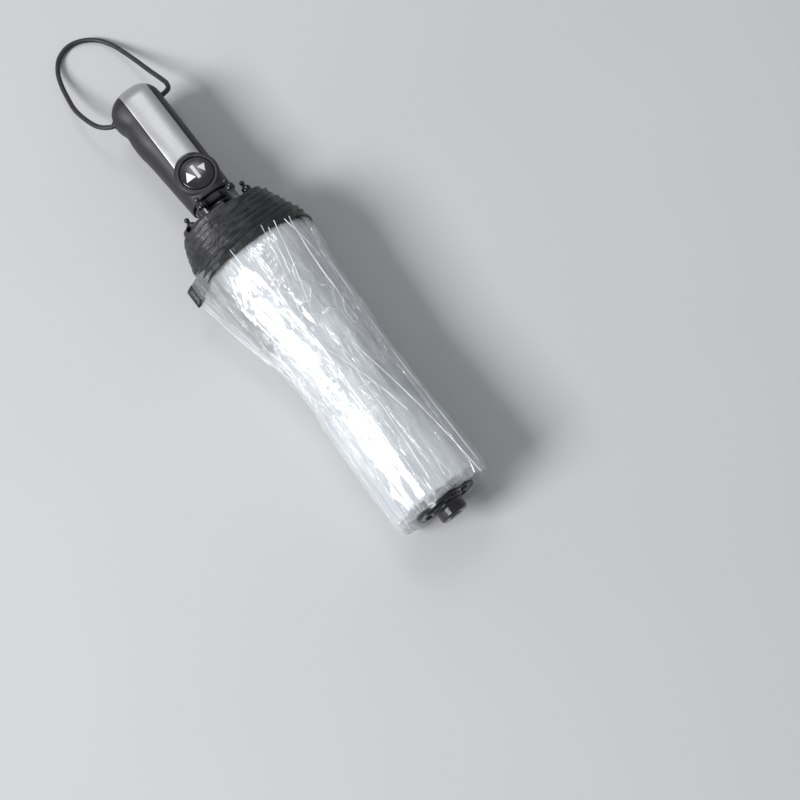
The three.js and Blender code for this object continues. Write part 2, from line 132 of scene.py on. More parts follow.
def lathe(profile, sides=64, place=at, centre=None):
    """A closed body of revolution about the pole from (u, r) points, or about +Z at (u, 0)."""
    verts, faces = [], []
    rings = []
    for p, r in profile:
        if r < 1e-6:
            rings.append([len(verts)])
            verts.append(place(p, 0, 0) if centre is None else place(centre, 0, p))
            continue
        ring = []
        for k in range(sides):
            a = TURN * k / sides
            ring.append(len(verts))
            if centre is None:
                verts.append(place(p, r * math.cos(a), r * math.sin(a)))
            else:
                verts.append(place(centre + r * math.cos(a), r * math.sin(a), p))
        rings.append(ring)
    closed = profile[0][1] > 1e-6 and profile[0] == profile[-1]
    if closed:
        verts = verts[:rings[-1][0]]
        rings[-1] = rings[0]
    for a, b in zip(rings, rings[1:]):
        for k in range(sides):
            n = (k + 1) % sides
            if len(a) == 1 and len(b) == 1:
                continue
            if len(a) == 1:
                faces.append((a[0], b[n], b[k]))
            elif len(b) == 1:
                faces.append((a[k], a[n], b[0]))
            else:
                faces.append((a[k], a[n], b[n], b[k]))
    return verts, faces


def rounded(profile, radius=0.4, steps=3):
    """A (u, r) profile with its inner corners rounded."""
    out = [profile[0]]
    for before, here, after in zip(profile, profile[1:], profile[2:]):
        h, b, a = Vector(here), Vector(before), Vector(after)
        cut = min(radius, (b - h).length * 0.45, (a - h).length * 0.45)
        start = h + (b - h).normalized() * cut
        end = h + (a - h).normalized() * cut
        for k in range(steps + 1):
            t = k / steps
            p = start * (1 - t) ** 2 + h * 2 * t * (1 - t) + end * t * t
            out.append((p.x, p.y))
    out.append(profile[-1])
    return out


def frames(points):
    """A direction and two steady crosswise vectors at each point of a path."""
    tangents = []
    for k in range(len(points)):
        a, b = points[max(0, k - 1)], points[min(len(points) - 1, k + 1)]
        tangents.append((b - a).normalized())
    side = tangents[0].orthogonal().normalized()
    out = []
    for t in tangents:
        side = (side - t * side.dot(t)).normalized()
        out.append((t, side, t.cross(side)))
    return out


def tube(points, radius, sides=12, caps=True):
    """A tube along row-frame points. radius is a number in metres or a function of the share."""
    verts, faces = [], []
    for k, (p, (t, a, b)) in enumerate(zip(points, frames(points))):
        r = radius(k / (len(points) - 1)) if callable(radius) else radius
        for s in range(sides):
            w = TURN * s / sides
            verts.append(p + a * (r * math.cos(w)) + b * (r * math.sin(w)))
    faces = grid_faces(len(points), sides, wrap=True)
    if caps:
        faces.append(tuple(range(sides - 1, -1, -1)))
        last = (len(points) - 1) * sides
        faces.append(tuple(range(last, last + sides)))
    return verts, faces


def joined(*parts):
    verts, faces = [], []
    for v, f in parts:
        first = len(verts)
        verts += list(v)
        faces += [tuple(first + k for k in face) for face in f]
    return verts, faces


def turned_to_spoke(verts, k):
    """Turns row-frame points about the pole's axis to spoke k."""
    a = k * TURN / SPOKES
    c, s = math.cos(a), math.sin(a)
    out = []
    for v in verts:
        y, z = v[1] - AXIS_Y * MM, v[2] - AXIS_Z * MM
        out.append(Vector((v[0], AXIS_Y * MM + y * c - z * s, AXIS_Z * MM + y * s + z * c)))
    return out


# ------------------------------------------------------------------ materials
class Graph:
    """The nodes of a new material."""

    def __init__(self, name):
        self.material = bpy.data.materials.new(name)
        self.material.use_nodes = True
        self.nodes = self.material.node_tree.nodes
        self.links = self.material.node_tree.links
        self.nodes.clear()
        self.out = self.new("ShaderNodeOutputMaterial")

    def new(self, kind):
        return self.nodes.new(kind)

    def link(self, source, target):
        self.links.new(source, target)

    def surface(self, node):
        self.link(node.outputs[0], self.out.inputs["Surface"])
        return self.material


def principled(g, color=(0.5, 0.5, 0.5), rough=0.5, metal=0.0, ior=1.5, coat=0.0,
               coat_rough=0.1, sheen=0.0):
    p = g.new("ShaderNodeBsdfPrincipled")
    p.inputs["Base Color"].default_value = (*color, 1)
    p.inputs["Roughness"].default_value = rough
    p.inputs["Metallic"].default_value = metal
    p.inputs["IOR"].default_value = ior
    p.inputs["Coat Weight"].default_value = coat
    p.inputs["Coat Roughness"].default_value = coat_rough
    p.inputs["Sheen Weight"].default_value = sheen
    return p


def coords(g, scale=(1, 1, 1), rotation=(0, 0, 0)):
    where = g.new("ShaderNodeTexCoord")
    mapping = g.new("ShaderNodeMapping")
    mapping.inputs["Scale"].default_value = scale
    mapping.inputs["Rotation"].default_value = rotation
    g.link(where.outputs["Object"], mapping.inputs["Vector"])
    return mapping.outputs["Vector"]


def noise_node(g, vector, scale, detail=3.0, rough=0.5, distortion=0.0):
    n = g.new("ShaderNodeTexNoise")
    n.inputs["Scale"].default_value = scale
    n.inputs["Detail"].default_value = detail
    n.inputs["Roughness"].default_value = rough
    n.inputs["Distortion"].default_value = distortion
    g.link(vector, n.inputs["Vector"])
    return n.outputs["Fac"]


def voronoi_node(g, vector, scale):
    n = g.new("ShaderNodeTexVoronoi")
    n.inputs["Scale"].default_value = scale
    g.link(vector, n.inputs["Vector"])
    return n.outputs["Distance"]


def remap(g, value, low, high, to_low, to_high):
    n = g.new("ShaderNodeMapRange")
    for socket, x in zip(("From Min", "From Max", "To Min", "To Max"),
                         (low, high, to_low, to_high)):
        n.inputs[socket].default_value = x
    g.link(value, n.inputs["Value"])
    return n.outputs["Result"]


def ramp(g, value, stops):
    n = g.new("ShaderNodeValToRGB")
    elements = n.color_ramp.elements
    while len(elements) < len(stops):
        elements.new(0.5)
    for element, (pos, color) in zip(elements, stops):
        element.position = pos
        element.color = (*color, 1)
    g.link(value, n.inputs["Fac"])
    return n.outputs["Color"]


def maths(g, kind, a, b=None, clamp=False):
    n = g.new("ShaderNodeMath")
    n.operation = kind
    n.use_clamp = clamp
    for k, x in enumerate((a, b)):
        if x is None:
            continue
        if isinstance(x, (int, float)):
            n.inputs[k].default_value = x
        else:
            g.link(x, n.inputs[k])
    return n.outputs[0]


def transparent(g, color=(1, 1, 1)):
    n = g.new("ShaderNodeBsdfTransparent")
    n.inputs["Color"].default_value = (*color, 1)
    return n


def mixed(g, share, first, second):
    """The first shader where share is 0, and the second where it is 1."""
    n = g.new("ShaderNodeMixShader")
    if isinstance(share, (int, float)):
        n.inputs[0].default_value = share
    else:
        g.link(share, n.inputs[0])
    g.link(first.outputs[0], n.inputs[1])
    g.link(second.outputs[0], n.inputs[2])
    return n


def bumped(g, target, heights, socket="Normal"):
    """Chains bump nodes: heights is a list of (height output, distance in metres, strength)."""
    normal = None
    for height, distance, strength in heights:
        b = g.new("ShaderNodeBump")
        b.inputs["Distance"].default_value = distance
        b.inputs["Strength"].default_value = strength
        g.link(height, b.inputs["Height"])
        if normal is not None:
            g.link(normal, b.inputs["Normal"])
        normal = b.outputs["Normal"]
    g.link(normal, target.inputs[socket])
    return normal


def grip_black():
    """Soft-touch moulded plastic: charcoal, with a fine spark-eroded grain, random lighter patches,
    and a painted highlight: sharp edges are painted lighter.
    """
    g = Graph("grip_black")
    p = principled(g, rough=0.5, ior=1.48)
    fine = noise_node(g, coords(g), 2600, 2)
    patches = noise_node(g, coords(g), 70, 4)
    geo = g.new("ShaderNodeNewGeometry")
    # painted highlight: sharp convex edges (high pointiness) are made lighter in the base colour
    edge = remap(g, geo.outputs["Pointiness"], 0.5, 0.56, 0.0, 0.35)
    patches_and_edge_highlight = maths(g, "ADD", maths(g, "MULTIPLY", patches, 0.65), edge,
                 clamp=True)
    g.link(ramp(g, patches_and_edge_highlight, [(0.1, (0.007, 0.007, 0.008)),
                           (0.45, (0.0115, 0.0115, 0.013)),
                           (1.0, (0.032, 0.032, 0.034))]), p.inputs["Base Color"])
    g.link(remap(g, patches, 0.3, 0.7, 0.42, 0.56), p.inputs["Roughness"])
    bumped(g, p, [(fine, 0.00004, 0.5)])
    return g.surface(p)


def gloss_black(name="gloss_black", rough=0.16, bump_depth=0.00006):
    """Polished moulding: near black, with faint sink marks and hairline scuffs."""
    g = Graph(name)
    p = principled(g, rough=rough, ior=1.54)
    waves = noise_node(g, coords(g), 160, 2)
    scuffs = noise_node(g, coords(g, (1, 14, 14), (0.4, 0.2, 0.5)), 900, 3)
    g.link(ramp(g, waves, [(0.3, (0.006, 0.006, 0.007)),
                           (0.7, (0.013, 0.013, 0.014))]), p.inputs["Base Color"])
    g.link(remap(g, scuffs, 0.35, 0.75, rough * 0.8, rough * 1.7),
           p.inputs["Roughness"])
    bumped(g, p, [(waves, bump_depth, 0.6)])
    return g.surface(p)


def silver_inlay():
    """Satin silver paint: fine metal flake under a clear coat."""
    g = Graph("silver_inlay")
    p = principled(g, metal=0.75, rough=0.42, coat=0.12, coat_rough=0.16)
    flake = voronoi_node(g, coords(g), 5200)
    cloud = noise_node(g, coords(g), 55, 4)
    base = maths(g, "ADD", maths(g, "MULTIPLY", flake, 0.35),
                 maths(g, "MULTIPLY", cloud, 0.75), clamp=True)
    g.link(ramp(g, base, [(0.2, (0.37, 0.37, 0.378)), (0.6, (0.44, 0.44, 0.45)),
                          (1.0, (0.54, 0.54, 0.55))]), p.inputs["Base Color"])
    g.link(remap(g, cloud, 0.3, 0.7, 0.38, 0.48), p.inputs["Roughness"])
    bumped(g, p, [(flake, 0.00002, 0.25)])
    return g.surface(p)


def metal(name, color, rough, grain=(1, 30, 30)):
    """Drawn metal, brushed along the pole."""
    g = Graph(name)
    p = principled(g, metal=1.0, rough=rough)
    brush = noise_node(g, coords(g, grain), 700, 3)
    smear = noise_node(g, coords(g), 90, 3)
    dark = tuple(c * 0.8 for c in color)
    g.link(ramp(g, smear, [(0.3, dark), (0.7, color)]), p.inputs["Base Color"])
    g.link(remap(g, brush, 0.3, 0.7, rough * 0.75, rough * 1.4),
           p.inputs["Roughness"])
    bumped(g, p, [(brush, 0.00002, 0.4)])
    return g.surface(p)


def white_rib():
    """Glass-fibre rod: white resin with faint long fibres."""
    g = Graph("white_rib")
    p = principled(g, rough=0.35)
    fibres = noise_node(g, coords(g, (1, 40, 40)), 500, 3)
    g.link(ramp(g, fibres, [(0.3, (0.66, 0.66, 0.64)), (0.7, (0.84, 0.84, 0.83))]),
           p.inputs["Base Color"])
    bumped(g, p, [(fibres, 0.00003, 0.4)])
    return g.surface(p)


def mark_white(name, color):
    """Pad-printed ink: slightly uneven, matt."""
    g = Graph(name)
    p = principled(g, rough=0.4)
    spots = noise_node(g, coords(g), 1500, 3)
    low = tuple(c * 0.86 for c in color)
    g.link(ramp(g, spots, [(0.35, low), (0.65, color)]), p.inputs["Base Color"])
    bumped(g, p, [(spots, 0.00002, 0.4)])
    return g.surface(p)


def fold_highlight_lines(g):
    """Fine lines that run along the film, and curled ones round the middle, as 0 to 1: they shape
    the fold bumps and are painted bright as painted highlights.
    """
    long_way = noise_node(g, coords(g, (0.045, 1, 1), (0, 0.02, 0.03)), 95, 2,
                          0.5, 0.25)
    line = maths(g, "ABSOLUTE", maths(g, "SUBTRACT", long_way, 0.5))
    line = remap(g, line, 0.002, 0.010, 1.0, 0.0)
    second = noise_node(g, coords(g, (0.07, 1, 1), (0.3, -0.05, 0.06)), 150,
                        2, 0.5, 0.4)
    other = maths(g, "ABSOLUTE", maths(g, "SUBTRACT", second, 0.46))
    other = remap(g, other, 0.001, 0.006, 1.0, 0.0)
    curl = noise_node(g, coords(g, (0.5, 1, 1), (0.2, 0.4, 0)), 62, 2, 0.45,
                      1.4)
    ring = maths(g, "ABSOLUTE", maths(g, "SUBTRACT", curl, 0.55))
    ring = remap(g, ring, 0.004, 0.022, 1.0, 0.0)
    where = g.new("ShaderNodeTexCoord")
    split = g.new("ShaderNodeSeparateXYZ")
    g.link(where.outputs["Object"], split.inputs[0])
    off = maths(g, "ABSOLUTE", maths(g, "SUBTRACT", split.outputs["X"], 0.04))
    middle = remap(g, off, 0.015, 0.06, 1.0, 0.0)
    ring = maths(g, "MULTIPLY", ring, middle)
    lines = maths(g, "ADD", maths(g, "MULTIPLY", line, 0.7),
                  maths(g, "MULTIPLY", other, 0.6))
    return maths(g, "ADD", lines, maths(g, "MULTIPLY", ring, 0.9), clamp=True)


def clear_film(name="clear_film", haze=0.15, rough=0.07, tint=(0.95, 0.965, 0.98), ior=1.5,
               wrinkles=1.0, edge=0.5, fold_highlight_share=0.55):
    """Clear soft film: see-through, with gloss, a little haze, fine crinkles, and bright folds that
    are painted highlights (the fold lines turn it more milky white).
    """
    g = Graph(name)
    vector = coords(g, (0.3, 1, 1))
    folds = noise_node(g, vector, 95, 3, 0.5, 0.8)
    fine = noise_node(g, coords(g, (0.16, 1, 1)), 330, 3)
    lines = fold_highlight_lines(g)
    gloss = principled(g, color=tint, rough=rough, ior=ior)
    heights = [(folds, 0.0035 * wrinkles, 0.65), (lines, 0.0004 * wrinkles, 0.5),
               (fine, 0.0006 * wrinkles, 0.5)]
    normal = bumped(g, gloss, heights)
    light = g.new("ShaderNodeBsdfTranslucent")
    light.inputs["Color"].default_value = (0.95, 0.97, 0.99, 1)
    milk = mixed(g, 0.45, gloss, light)
    mirror = g.new("ShaderNodeBsdfAnisotropic")
    mirror.inputs["Roughness"].default_value = rough
    mirror.inputs["Color"].default_value = (1, 1, 1, 1)
    g.link(normal, mirror.inputs["Normal"])
    clear = transparent(g, (0.985, 0.99, 0.993))
    weight = g.new("ShaderNodeLayerWeight")
    weight.inputs["Blend"].default_value = 0.3
    rim = maths(g, "MULTIPLY", maths(g, "POWER",
                                     weight.outputs["Facing"], 3.0), edge)
    cloud = remap(g, noise_node(g, vector, 60, 3), 0.35, 0.7,
                  haze * 0.4, haze * 1.7)
    # painted highlight: the fold lines make the film more milky white
    share = maths(g, "ADD", maths(g, "ADD", rim, cloud),
                  maths(g, "MULTIPLY", lines, fold_highlight_share), clamp=True)
    body = mixed(g, share, clear, milk)
    glance = g.new("ShaderNodeLayerWeight")
    glance.inputs["Blend"].default_value = 0.5
    g.link(normal, glance.inputs["Normal"])
    shine = maths(g, "MULTIPLY", maths(g, "POWER",
                                       glance.outputs["Facing"], 5.0), 0.55)
    return g.surface(mixed(g, maths(g, "ADD", shine, 0.075, clamp=True), body, mirror))


def fold_highlight():
    """A painted highlight: pale paint for the bright edge of a sharp fold in clear film, stronger
    in some places than in others.
    """
    g = Graph("fold_highlight")
    p = principled(g, rough=0.16, ior=1.5)
    cloud = noise_node(g, coords(g), 75, 3)
    g.link(ramp(g, cloud, [(0.3, (0.78, 0.80, 0.82)), (0.7, (0.96, 0.97, 0.98))]),
           p.inputs["Base Color"])
    bumped(g, p, [(cloud, 0.0001, 0.4)])
    return g.surface(mixed(g, remap(g, cloud, 0.35, 0.62, 0.75, 0.1), p, transparent(g)))


def film_core():
    """Many layers of clear film folded together: milky and half see-through, with soft creases."""
    g = Graph("film_core")
    vector = coords(g, (0.22, 1, 1))
    folds = noise_node(g, vector, 80, 4, 0.5, 0.9)
    lines = fold_highlight_lines(g)
    p = principled(g, rough=0.3, ior=1.4)
    cloud = noise_node(g, coords(g, (0.4, 1, 1)), 48, 4, 0.6, 0.4)
    # painted highlight: the fold lines lighten the base colour
    tone = maths(g, "ADD", cloud, maths(g, "MULTIPLY", lines, 0.35),
                 clamp=True)
    colors = ramp(g, tone, [(0.3, (0.44, 0.47, 0.50)), (0.5, (0.59, 0.61, 0.63)),
                            (0.75, (0.84, 0.85, 0.86))])
    g.link(colors, p.inputs["Base Color"])
    g.link(remap(g, cloud, 0.3, 0.7, 0.24, 0.42), p.inputs["Roughness"])
    bumped(g, p, [(folds, 0.003, 0.6), (lines, 0.0005, 0.5)])
    p.inputs["Subsurface Weight"].default_value = 0.9
    p.inputs["Subsurface Radius"].default_value = (1, 1, 1)
    p.inputs["Subsurface Scale"].default_value = 0.022
    clear = transparent(g, (0.97, 0.98, 0.985))
    weight = g.new("ShaderNodeLayerWeight")
    weight.inputs["Blend"].default_value = 0.5
    rim = remap(g, weight.outputs["Facing"], 0.5, 0.97, 0.03, 0.6)
    return g.surface(mixed(g, rim, p, clear))


def hem_fabric():
    """Black coated band: soft sheen, fine weave, rubbed pleats."""
    g = Graph("hem_fabric")
    p = principled(g, rough=0.42, ior=1.5, sheen=0.05)
    p.inputs["Sheen Roughness"].default_value = 0.4
    weave_a = g.new("ShaderNodeTexWave")
    weave_a.inputs["Scale"].default_value = 800
    weave_a.inputs["Distortion"].default_value = 1.5
    g.link(coords(g), weave_a.inputs["Vector"])
    streaks = noise_node(g, coords(g, (1, 0.3, 0.3)), 420, 4, 0.6)
    cloud = noise_node(g, coords(g), 130, 4)
    both = maths(g, "ADD", maths(g, "MULTIPLY", streaks, 0.6),
                 maths(g, "MULTIPLY", cloud, 0.4))
    g.link(ramp(g, both, [(0.3, (0.006, 0.006, 0.007)), (0.5, (0.013, 0.0135, 0.0145)),
                          (0.72, (0.034, 0.0345, 0.036))]), p.inputs["Base Color"])
    g.link(remap(g, cloud, 0.3, 0.7, 0.32, 0.55), p.inputs["Roughness"])
    bumped(g, p, [(streaks, 0.0012, 0.7), (cloud, 0.0014, 0.5),
                  (weave_a.outputs["Fac"], 0.00004, 0.4)])
    return g.surface(p)


def cord_rubber():
    """Stiff round cord: black, with a fine spiral braid."""
    g = Graph("cord_rubber")
    p = principled(g, rough=0.5)
    uv = g.new("ShaderNodeUVMap")
    mapping = g.new("ShaderNodeMapping")
    mapping.inputs["Rotation"].default_value = (0, 0, 0.6)
    g.link(uv.outputs["UV"], mapping.inputs["Vector"])
    wave = g.new("ShaderNodeTexWave")
    wave.inputs["Scale"].default_value = 1.6
    wave.inputs["Distortion"].default_value = 0.6
    g.link(mapping.outputs["Vector"], wave.inputs["Vector"])
    dust = noise_node(g, coords(g), 900, 3)
    g.link(ramp(g, dust, [(0.35, (0.010, 0.010, 0.011)),
                          (0.7, (0.026, 0.026, 0.027))]), p.inputs["Base Color"])
    g.link(remap(g, dust, 0.3, 0.7, 0.38, 0.6), p.inputs["Roughness"])
    bumped(g, p, [(wave.outputs["Fac"], 0.00012, 0.45), (dust, 0.00005, 0.4)])
    return g.surface(p)


def floor_card():
    g = Graph("floor_card")
    p = principled(g, rough=0.75)
    tone = noise_node(g, coords(g), 3.0, 2)
    g.link(ramp(g, tone, [(0.3, (0.455, 0.457, 0.462)), (0.7, (0.475, 0.477, 0.482))]),
           p.inputs["Base Color"])
    return g.surface(p)


GRIP = grip_black()
GLOSS = gloss_black()
BUTTON = gloss_black("button_gloss", 0.2, 0.00003)
INLAY = silver_inlay()
STEEL = metal("bright_steel", (0.62, 0.63, 0.64), 0.22)
ALLOY = metal("rib_alloy", (0.74, 0.75, 0.76), 0.34, (1, 8, 8))
FIBRE = white_rib()
INK = mark_white("ink_white", (0.88, 0.88, 0.88))
INK_GREY = mark_white("ink_grey", (0.55, 0.55, 0.56))
FILM = clear_film()
SPREAD_FILM = clear_film("clear_film_spread", haze=0.06, rough=0.08, wrinkles=0.06, edge=0.3,
                         fold_highlight_share=0.03)
FAN_FILM = clear_film("clear_film_fan", haze=0.02, rough=0.07, wrinkles=0.25, edge=0.8, fold_highlight_share=0.2)
EDGE = fold_highlight()
CORE = film_core()
HEM = hem_fabric()
CORD = cord_rubber()

for node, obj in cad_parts.items():
    if "rib_" in node or node.startswith("stretcher"):
        look = FIBRE if node.startswith("outer_rib") else ALLOY
    elif node in ("outer_tube", "middle_tube", "inner_tube", "notch_wire", "runner_wire",
                  "button_spring"):
        look = STEEL
    elif "pleat" in node or node == "canopy_film":
        look = SPREAD_FILM
    elif node in ("hem_band", "tie_strap"):
        look = HEM
    elif node == "wrist_cord":
        look = CORD
    elif node == "handle_shell":
        look = GRIP
    elif node == "handle_inlay":
        look = INLAY
    else:
        look = GLOSS
    obj.data.materials.clear()
    obj.data.materials.append(look)

# ------------------------------------------------------------------ camera
LENS_PX, IMAGE_PX, SENSOR = 1522.3, 800, 36
camera_data = bpy.data.cameras.new("camera")
camera_data.sensor_width = SENSOR
camera_data.lens = LENS_PX * SENSOR / IMAGE_PX
camera = new_object("camera", camera_data)
azimuth, elevation, distance = math.radians(53.16), math.radians(74.5), 0.83
target = Vector((0.0776, 0.0219, 0))
back = Vector((math.sin(azimuth) * math.cos(elevation), -math.cos(azimuth) * math.cos(elevation),
               math.sin(elevation)))
camera.location = target + back * distance
camera.rotation_mode = "QUATERNION"
camera.rotation_quaternion = (-back).to_track_quat("-Z", "Y")
camera_data.clip_start = 0.01
bpy.context.scene.camera = camera
bpy.context.scene.view_settings.view_transform = "Standard"
RIGHT = Vector((math.cos(azimuth), math.sin(azimuth), 0))
DOWN = Vector((math.sin(azimuth), -math.cos(azimuth), 0))


def area_light(name, where, size, power, aim=(0, 0, 0.02), color=(1, 1, 1)):
    data = bpy.data.lights.new(name, "AREA")
    data.shape = "RECTANGLE"
    data.size, data.size_y = size
    data.energy = power
    data.color = color
    obj = new_object(name, data)
    obj.location = where
    obj.rotation_mode = "QUATERNION"
    obj.rotation_quaternion = (Vector(aim) - Vector(where)).to_track_quat("-Z", "Y")
    return obj


area_light("softbox_left", RIGHT * -2.0 + DOWN * 1.15 + Vector((0, 0, 2.0)), (1.1, 1.1), 116)
area_light("softbox_far", RIGHT * -0.35 + DOWN * -0.9 + Vector((0, 0, 1.6)), (0.5, 0.5), 5)
world = bpy.data.worlds.new("world")
world.use_nodes = True
world.node_tree.nodes["Background"].inputs["Color"].default_value = (0.93, 0.96, 1.0, 1)
world.node_tree.nodes["Background"].inputs["Strength"].default_value = 0.40
bpy.context.scene.world = world

FLOOR_SIZE, FLOOR_DROP = 14, 0.0002  # metres
floor_verts = [((i - 0.5) * FLOOR_SIZE, (j - 0.5) * FLOOR_SIZE, -FLOOR_DROP)
               for i in range(2) for j in range(2)]
floor_mesh = bpy.data.meshes.new("floor")
floor_mesh.from_pydata(floor_verts, [], [(0, 2, 3, 1)])
floor_mesh.materials.append(floor_card())
floor = new_object("floor", floor_mesh)

# ------------------------------------------------------------------ wrist cord
CORD_ROUTE = [
    (12, -7.8, 0), (12, -15, 0), (11.7, -18.8, -0.3), (8.8, -22.4, -2.4), (3.3, -25.6, -5.8),
    (-6.2, -28, -9.9), (-16.5, -29, -13.7), (-26.8, -27.9, -17.1), (-38.2, -25.8, -20.4),
    (-47.5, -22.6, -22.8), (-55, -17, -24.3), (-58.3, -9, -24.4), (-57, -1, -24.4),
    (-51.6, 7, -24.2), (-42.9, 12, -22.5), (-33.4, 14.5, -19.6), (-23.7, 16.3, -16.2),
    (-9.9, 18.3, -10.8), (0, 19.8, -6.4), (6, 20.2, -3.3), (10.4, 18.6, -1.1), (12, 14.6, 0),
    (12, 7.8, 0)]
CORD_RADIUS = 1.4


def curve_through(points, steps):
    """A centripetal Catmull-Rom curve through the points."""
    pts = [Vector(p) for p in points]
    pts = [pts[0] * 2 - pts[1]] + pts + [pts[-1] * 2 - pts[-2]]
    out = []
    for k in range(1, len(pts) - 2):
        p0, p1, p2, p3 = pts[k - 1:k + 3]
        t0 = 0.0
        t1 = t0 + math.sqrt((p1 - p0).length)
        t2 = t1 + math.sqrt((p2 - p1).length)
        t3 = t2 + math.sqrt((p3 - p2).length)
        for i in range(steps):
            t = t1 + (t2 - t1) * i / steps
            a1 = p0 * ((t1 - t) / (t1 - t0)) + p1 * ((t - t0) / (t1 - t0))
            a2 = p1 * ((t2 - t) / (t2 - t1)) + p2 * ((t - t1) / (t2 - t1))
            a3 = p2 * ((t3 - t) / (t3 - t2)) + p3 * ((t - t2) / (t3 - t2))
            b1 = a1 * ((t2 - t) / (t2 - t0)) + a2 * ((t - t0) / (t2 - t0))
            b2 = a2 * ((t3 - t) / (t3 - t1)) + a3 * ((t - t1) / (t3 - t1))
            out.append(b1 * ((t2 - t) / (t2 - t1)) + b2 * ((t - t1) / (t2 - t1)))
    out.append(pts[-2])
    return out


cord_points = [at(*p) for p in curve_through(CORD_ROUTE, 12)]
cord_length = sum((b - a).length for a, b in zip(cord_points, cord_points[1:]))
verts, faces = tube(cord_points, CORD_RADIUS * MM, 16)
wrist = piece("wrist_loop", verts, faces, "root", CORD)
uv = wrist.data.uv_layers.new(name="UVMap")
for loop in wrist.data.loops:
    ring, side = divmod(loop.vertex_index, 16)
    uv.data[loop.index].uv = (ring * 0.24, side / 16 * 2)
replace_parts(wrist, "wrist_cord")
tuple(cord_points[0])
[tuple(p) for p in cord_points]

# ------------------------------------------------------------------ handle
HANDLE_LENGTH, DOME = 82.0, 12.0
THUMB, PALM, PALM_RIM = 13.2, 18.0, 13.5
TOP, TOP_RIM = 14.5, 13.5
POWER = 2.5
MOUTH_RADIUS, MOUTH_DEPTH, BORE = 11.8, 3.5, 7.9
BUTTON_U, BUTTON_RADIUS, BUTTON_TOP = 68.5, 9.5, 14.6
POCKET_RADIUS, COLLAR_RADIUS, COLLAR_TOP = 9.8, 12.2, 13.55


def grip_sides(u):
    t = max(0.0, (u - DOME) / (HANDLE_LENGTH - DOME))
    palm = mix(PALM, PALM_RIM, t)
    palm += 0.5 * bump(u, 14.5, 3.2) - 0.8 * bump(u, 21.5, 3.6) + 0.55 * bump(u, 34, 6)
    return palm, THUMB, mix(TOP, TOP_RIM, t)


def grip_gauge(u, y, z):
    """Below 1 inside the grip and above 1 outside it."""
    palm, thumb, top = grip_sides(u)
    side = palm if y < 0 else thumb
    r = ((abs(y) / side) ** POWER + (abs(z) / top) ** POWER) ** (1 / POWER)
    if u >= DOME:
        return r
    return math.hypot(r, (DOME - u) / DOME)


def grip_normal(u, y, z):
    e = 0.02
    g = Vector((grip_gauge(u + e, y, z) - grip_gauge(u - e, y, z),
                grip_gauge(u, y + e, z) - grip_gauge(u, y - e, z),
                grip_gauge(u, y, z + e) - grip_gauge(u, y, z - e)))
    return g.normalized()


def grip_hit(start, direction):
    """Where a ray from inside the grip meets its outer form."""
    low, high = 0.0, 60.0
    for _ in range(44):
        middle = (low + high) / 2
        p = start + direction * middle
        if grip_gauge(p.x, p.y, p.z) < 1:
            low = middle
        else:
            high = middle
    return start + direction * low


def squared(value):
    return math.copysign(abs(value) ** (2 / POWER), value)


SIDES = 144
rings = []
for k in range(1, 25):
    w = k / 24 * math.pi / 2
    rings.append((DOME - DOME * math.cos(w), math.sin(w), None))
for k in range(1, 61):
    rings.append((mix(DOME, HANDLE_LENGTH - 0.9, k / 60), 1.0, None))
rings += [(HANDLE_LENGTH - 0.35, 0.992, None), (HANDLE_LENGTH, 0.97, None),
          (HANDLE_LENGTH, 0.93, 0.5), (HANDLE_LENGTH, 0, MOUTH_RADIUS + 0.35),
          (HANDLE_LENGTH - 0.35, 0, MOUTH_RADIUS), (HANDLE_LENGTH - MOUTH_DEPTH, 0, MOUTH_RADIUS),
          (HANDLE_LENGTH - MOUTH_DEPTH, 0, BORE), (44.0, 0, BORE)]
verts = [at(0, 0, 0)]
for u, r, inner in rings:
    palm, thumb, top = grip_sides(u)
    for s in range(SIDES):
        a = TURN * s / SIDES
        c, n = math.cos(a), math.sin(a)
        if inner is not None and r == 0:
            verts.append(at(u, inner * c, inner * n))
        else:
            side = palm if c < 0 else thumb
            verts.append(at(u, squared(c) * side * r, squared(n) * top * r))
faces = [(0, 1 + (s + 1) % SIDES, 1 + s) for s in range(SIDES)]
faces += grid_faces(len(rings), SIDES, wrap=True, first=1)
last = 1 + (len(rings) - 1) * SIDES
faces.append(tuple(range(last, last + SIDES)))
grip = piece("grip", verts, faces, None, GRIP)


def boolean(target, verts, faces, operation):
    mesh = bpy.data.meshes.new("cutter")
    mesh.from_pydata([tuple(v) for v in verts], [], faces)
    cutter = new_object("cutter", mesh)
    finish_mesh(cutter)
    modifier = target.modifiers.new("cut", "BOOLEAN")
    modifier.operation = operation
    modifier.object = cutter
    modifier.solver = "EXACT"
    bpy.context.view_layer.update()
    depsgraph = bpy.context.evaluated_depsgraph_get()
    result = bpy.data.meshes.new_from_object(target.evaluated_get(depsgraph))
    target.modifiers.clear()
    target.data = result
    bpy.data.objects.remove(cutter)


collar = rounded([(6.0, 0.0), (6.0, COLLAR_RADIUS + 0.5), (12.2, COLLAR_RADIUS + 0.4),
                  (COLLAR_TOP, COLLAR_RADIUS - 0.6), (COLLAR_TOP, 0.0)], 1.0, 5)
boolean(grip, *lathe(collar, 96, centre=BUTTON_U), "UNION")
pocket = [(9.6, 0.0), (9.6, POCKET_RADIUS), (13.3, POCKET_RADIUS), (13.75, POCKET_RADIUS + 0.25),
          (19.0, POCKET_RADIUS + 0.9), (19.0, 0.0)]
boolean(grip, *lathe(pocket, 96, centre=BUTTON_U), "DIFFERENCE")
grip.data.materials.clear()
grip.data.materials.append(GRIP)
finish_mesh(grip, 32)
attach(grip, "root")
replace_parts(grip, "handle_shell")


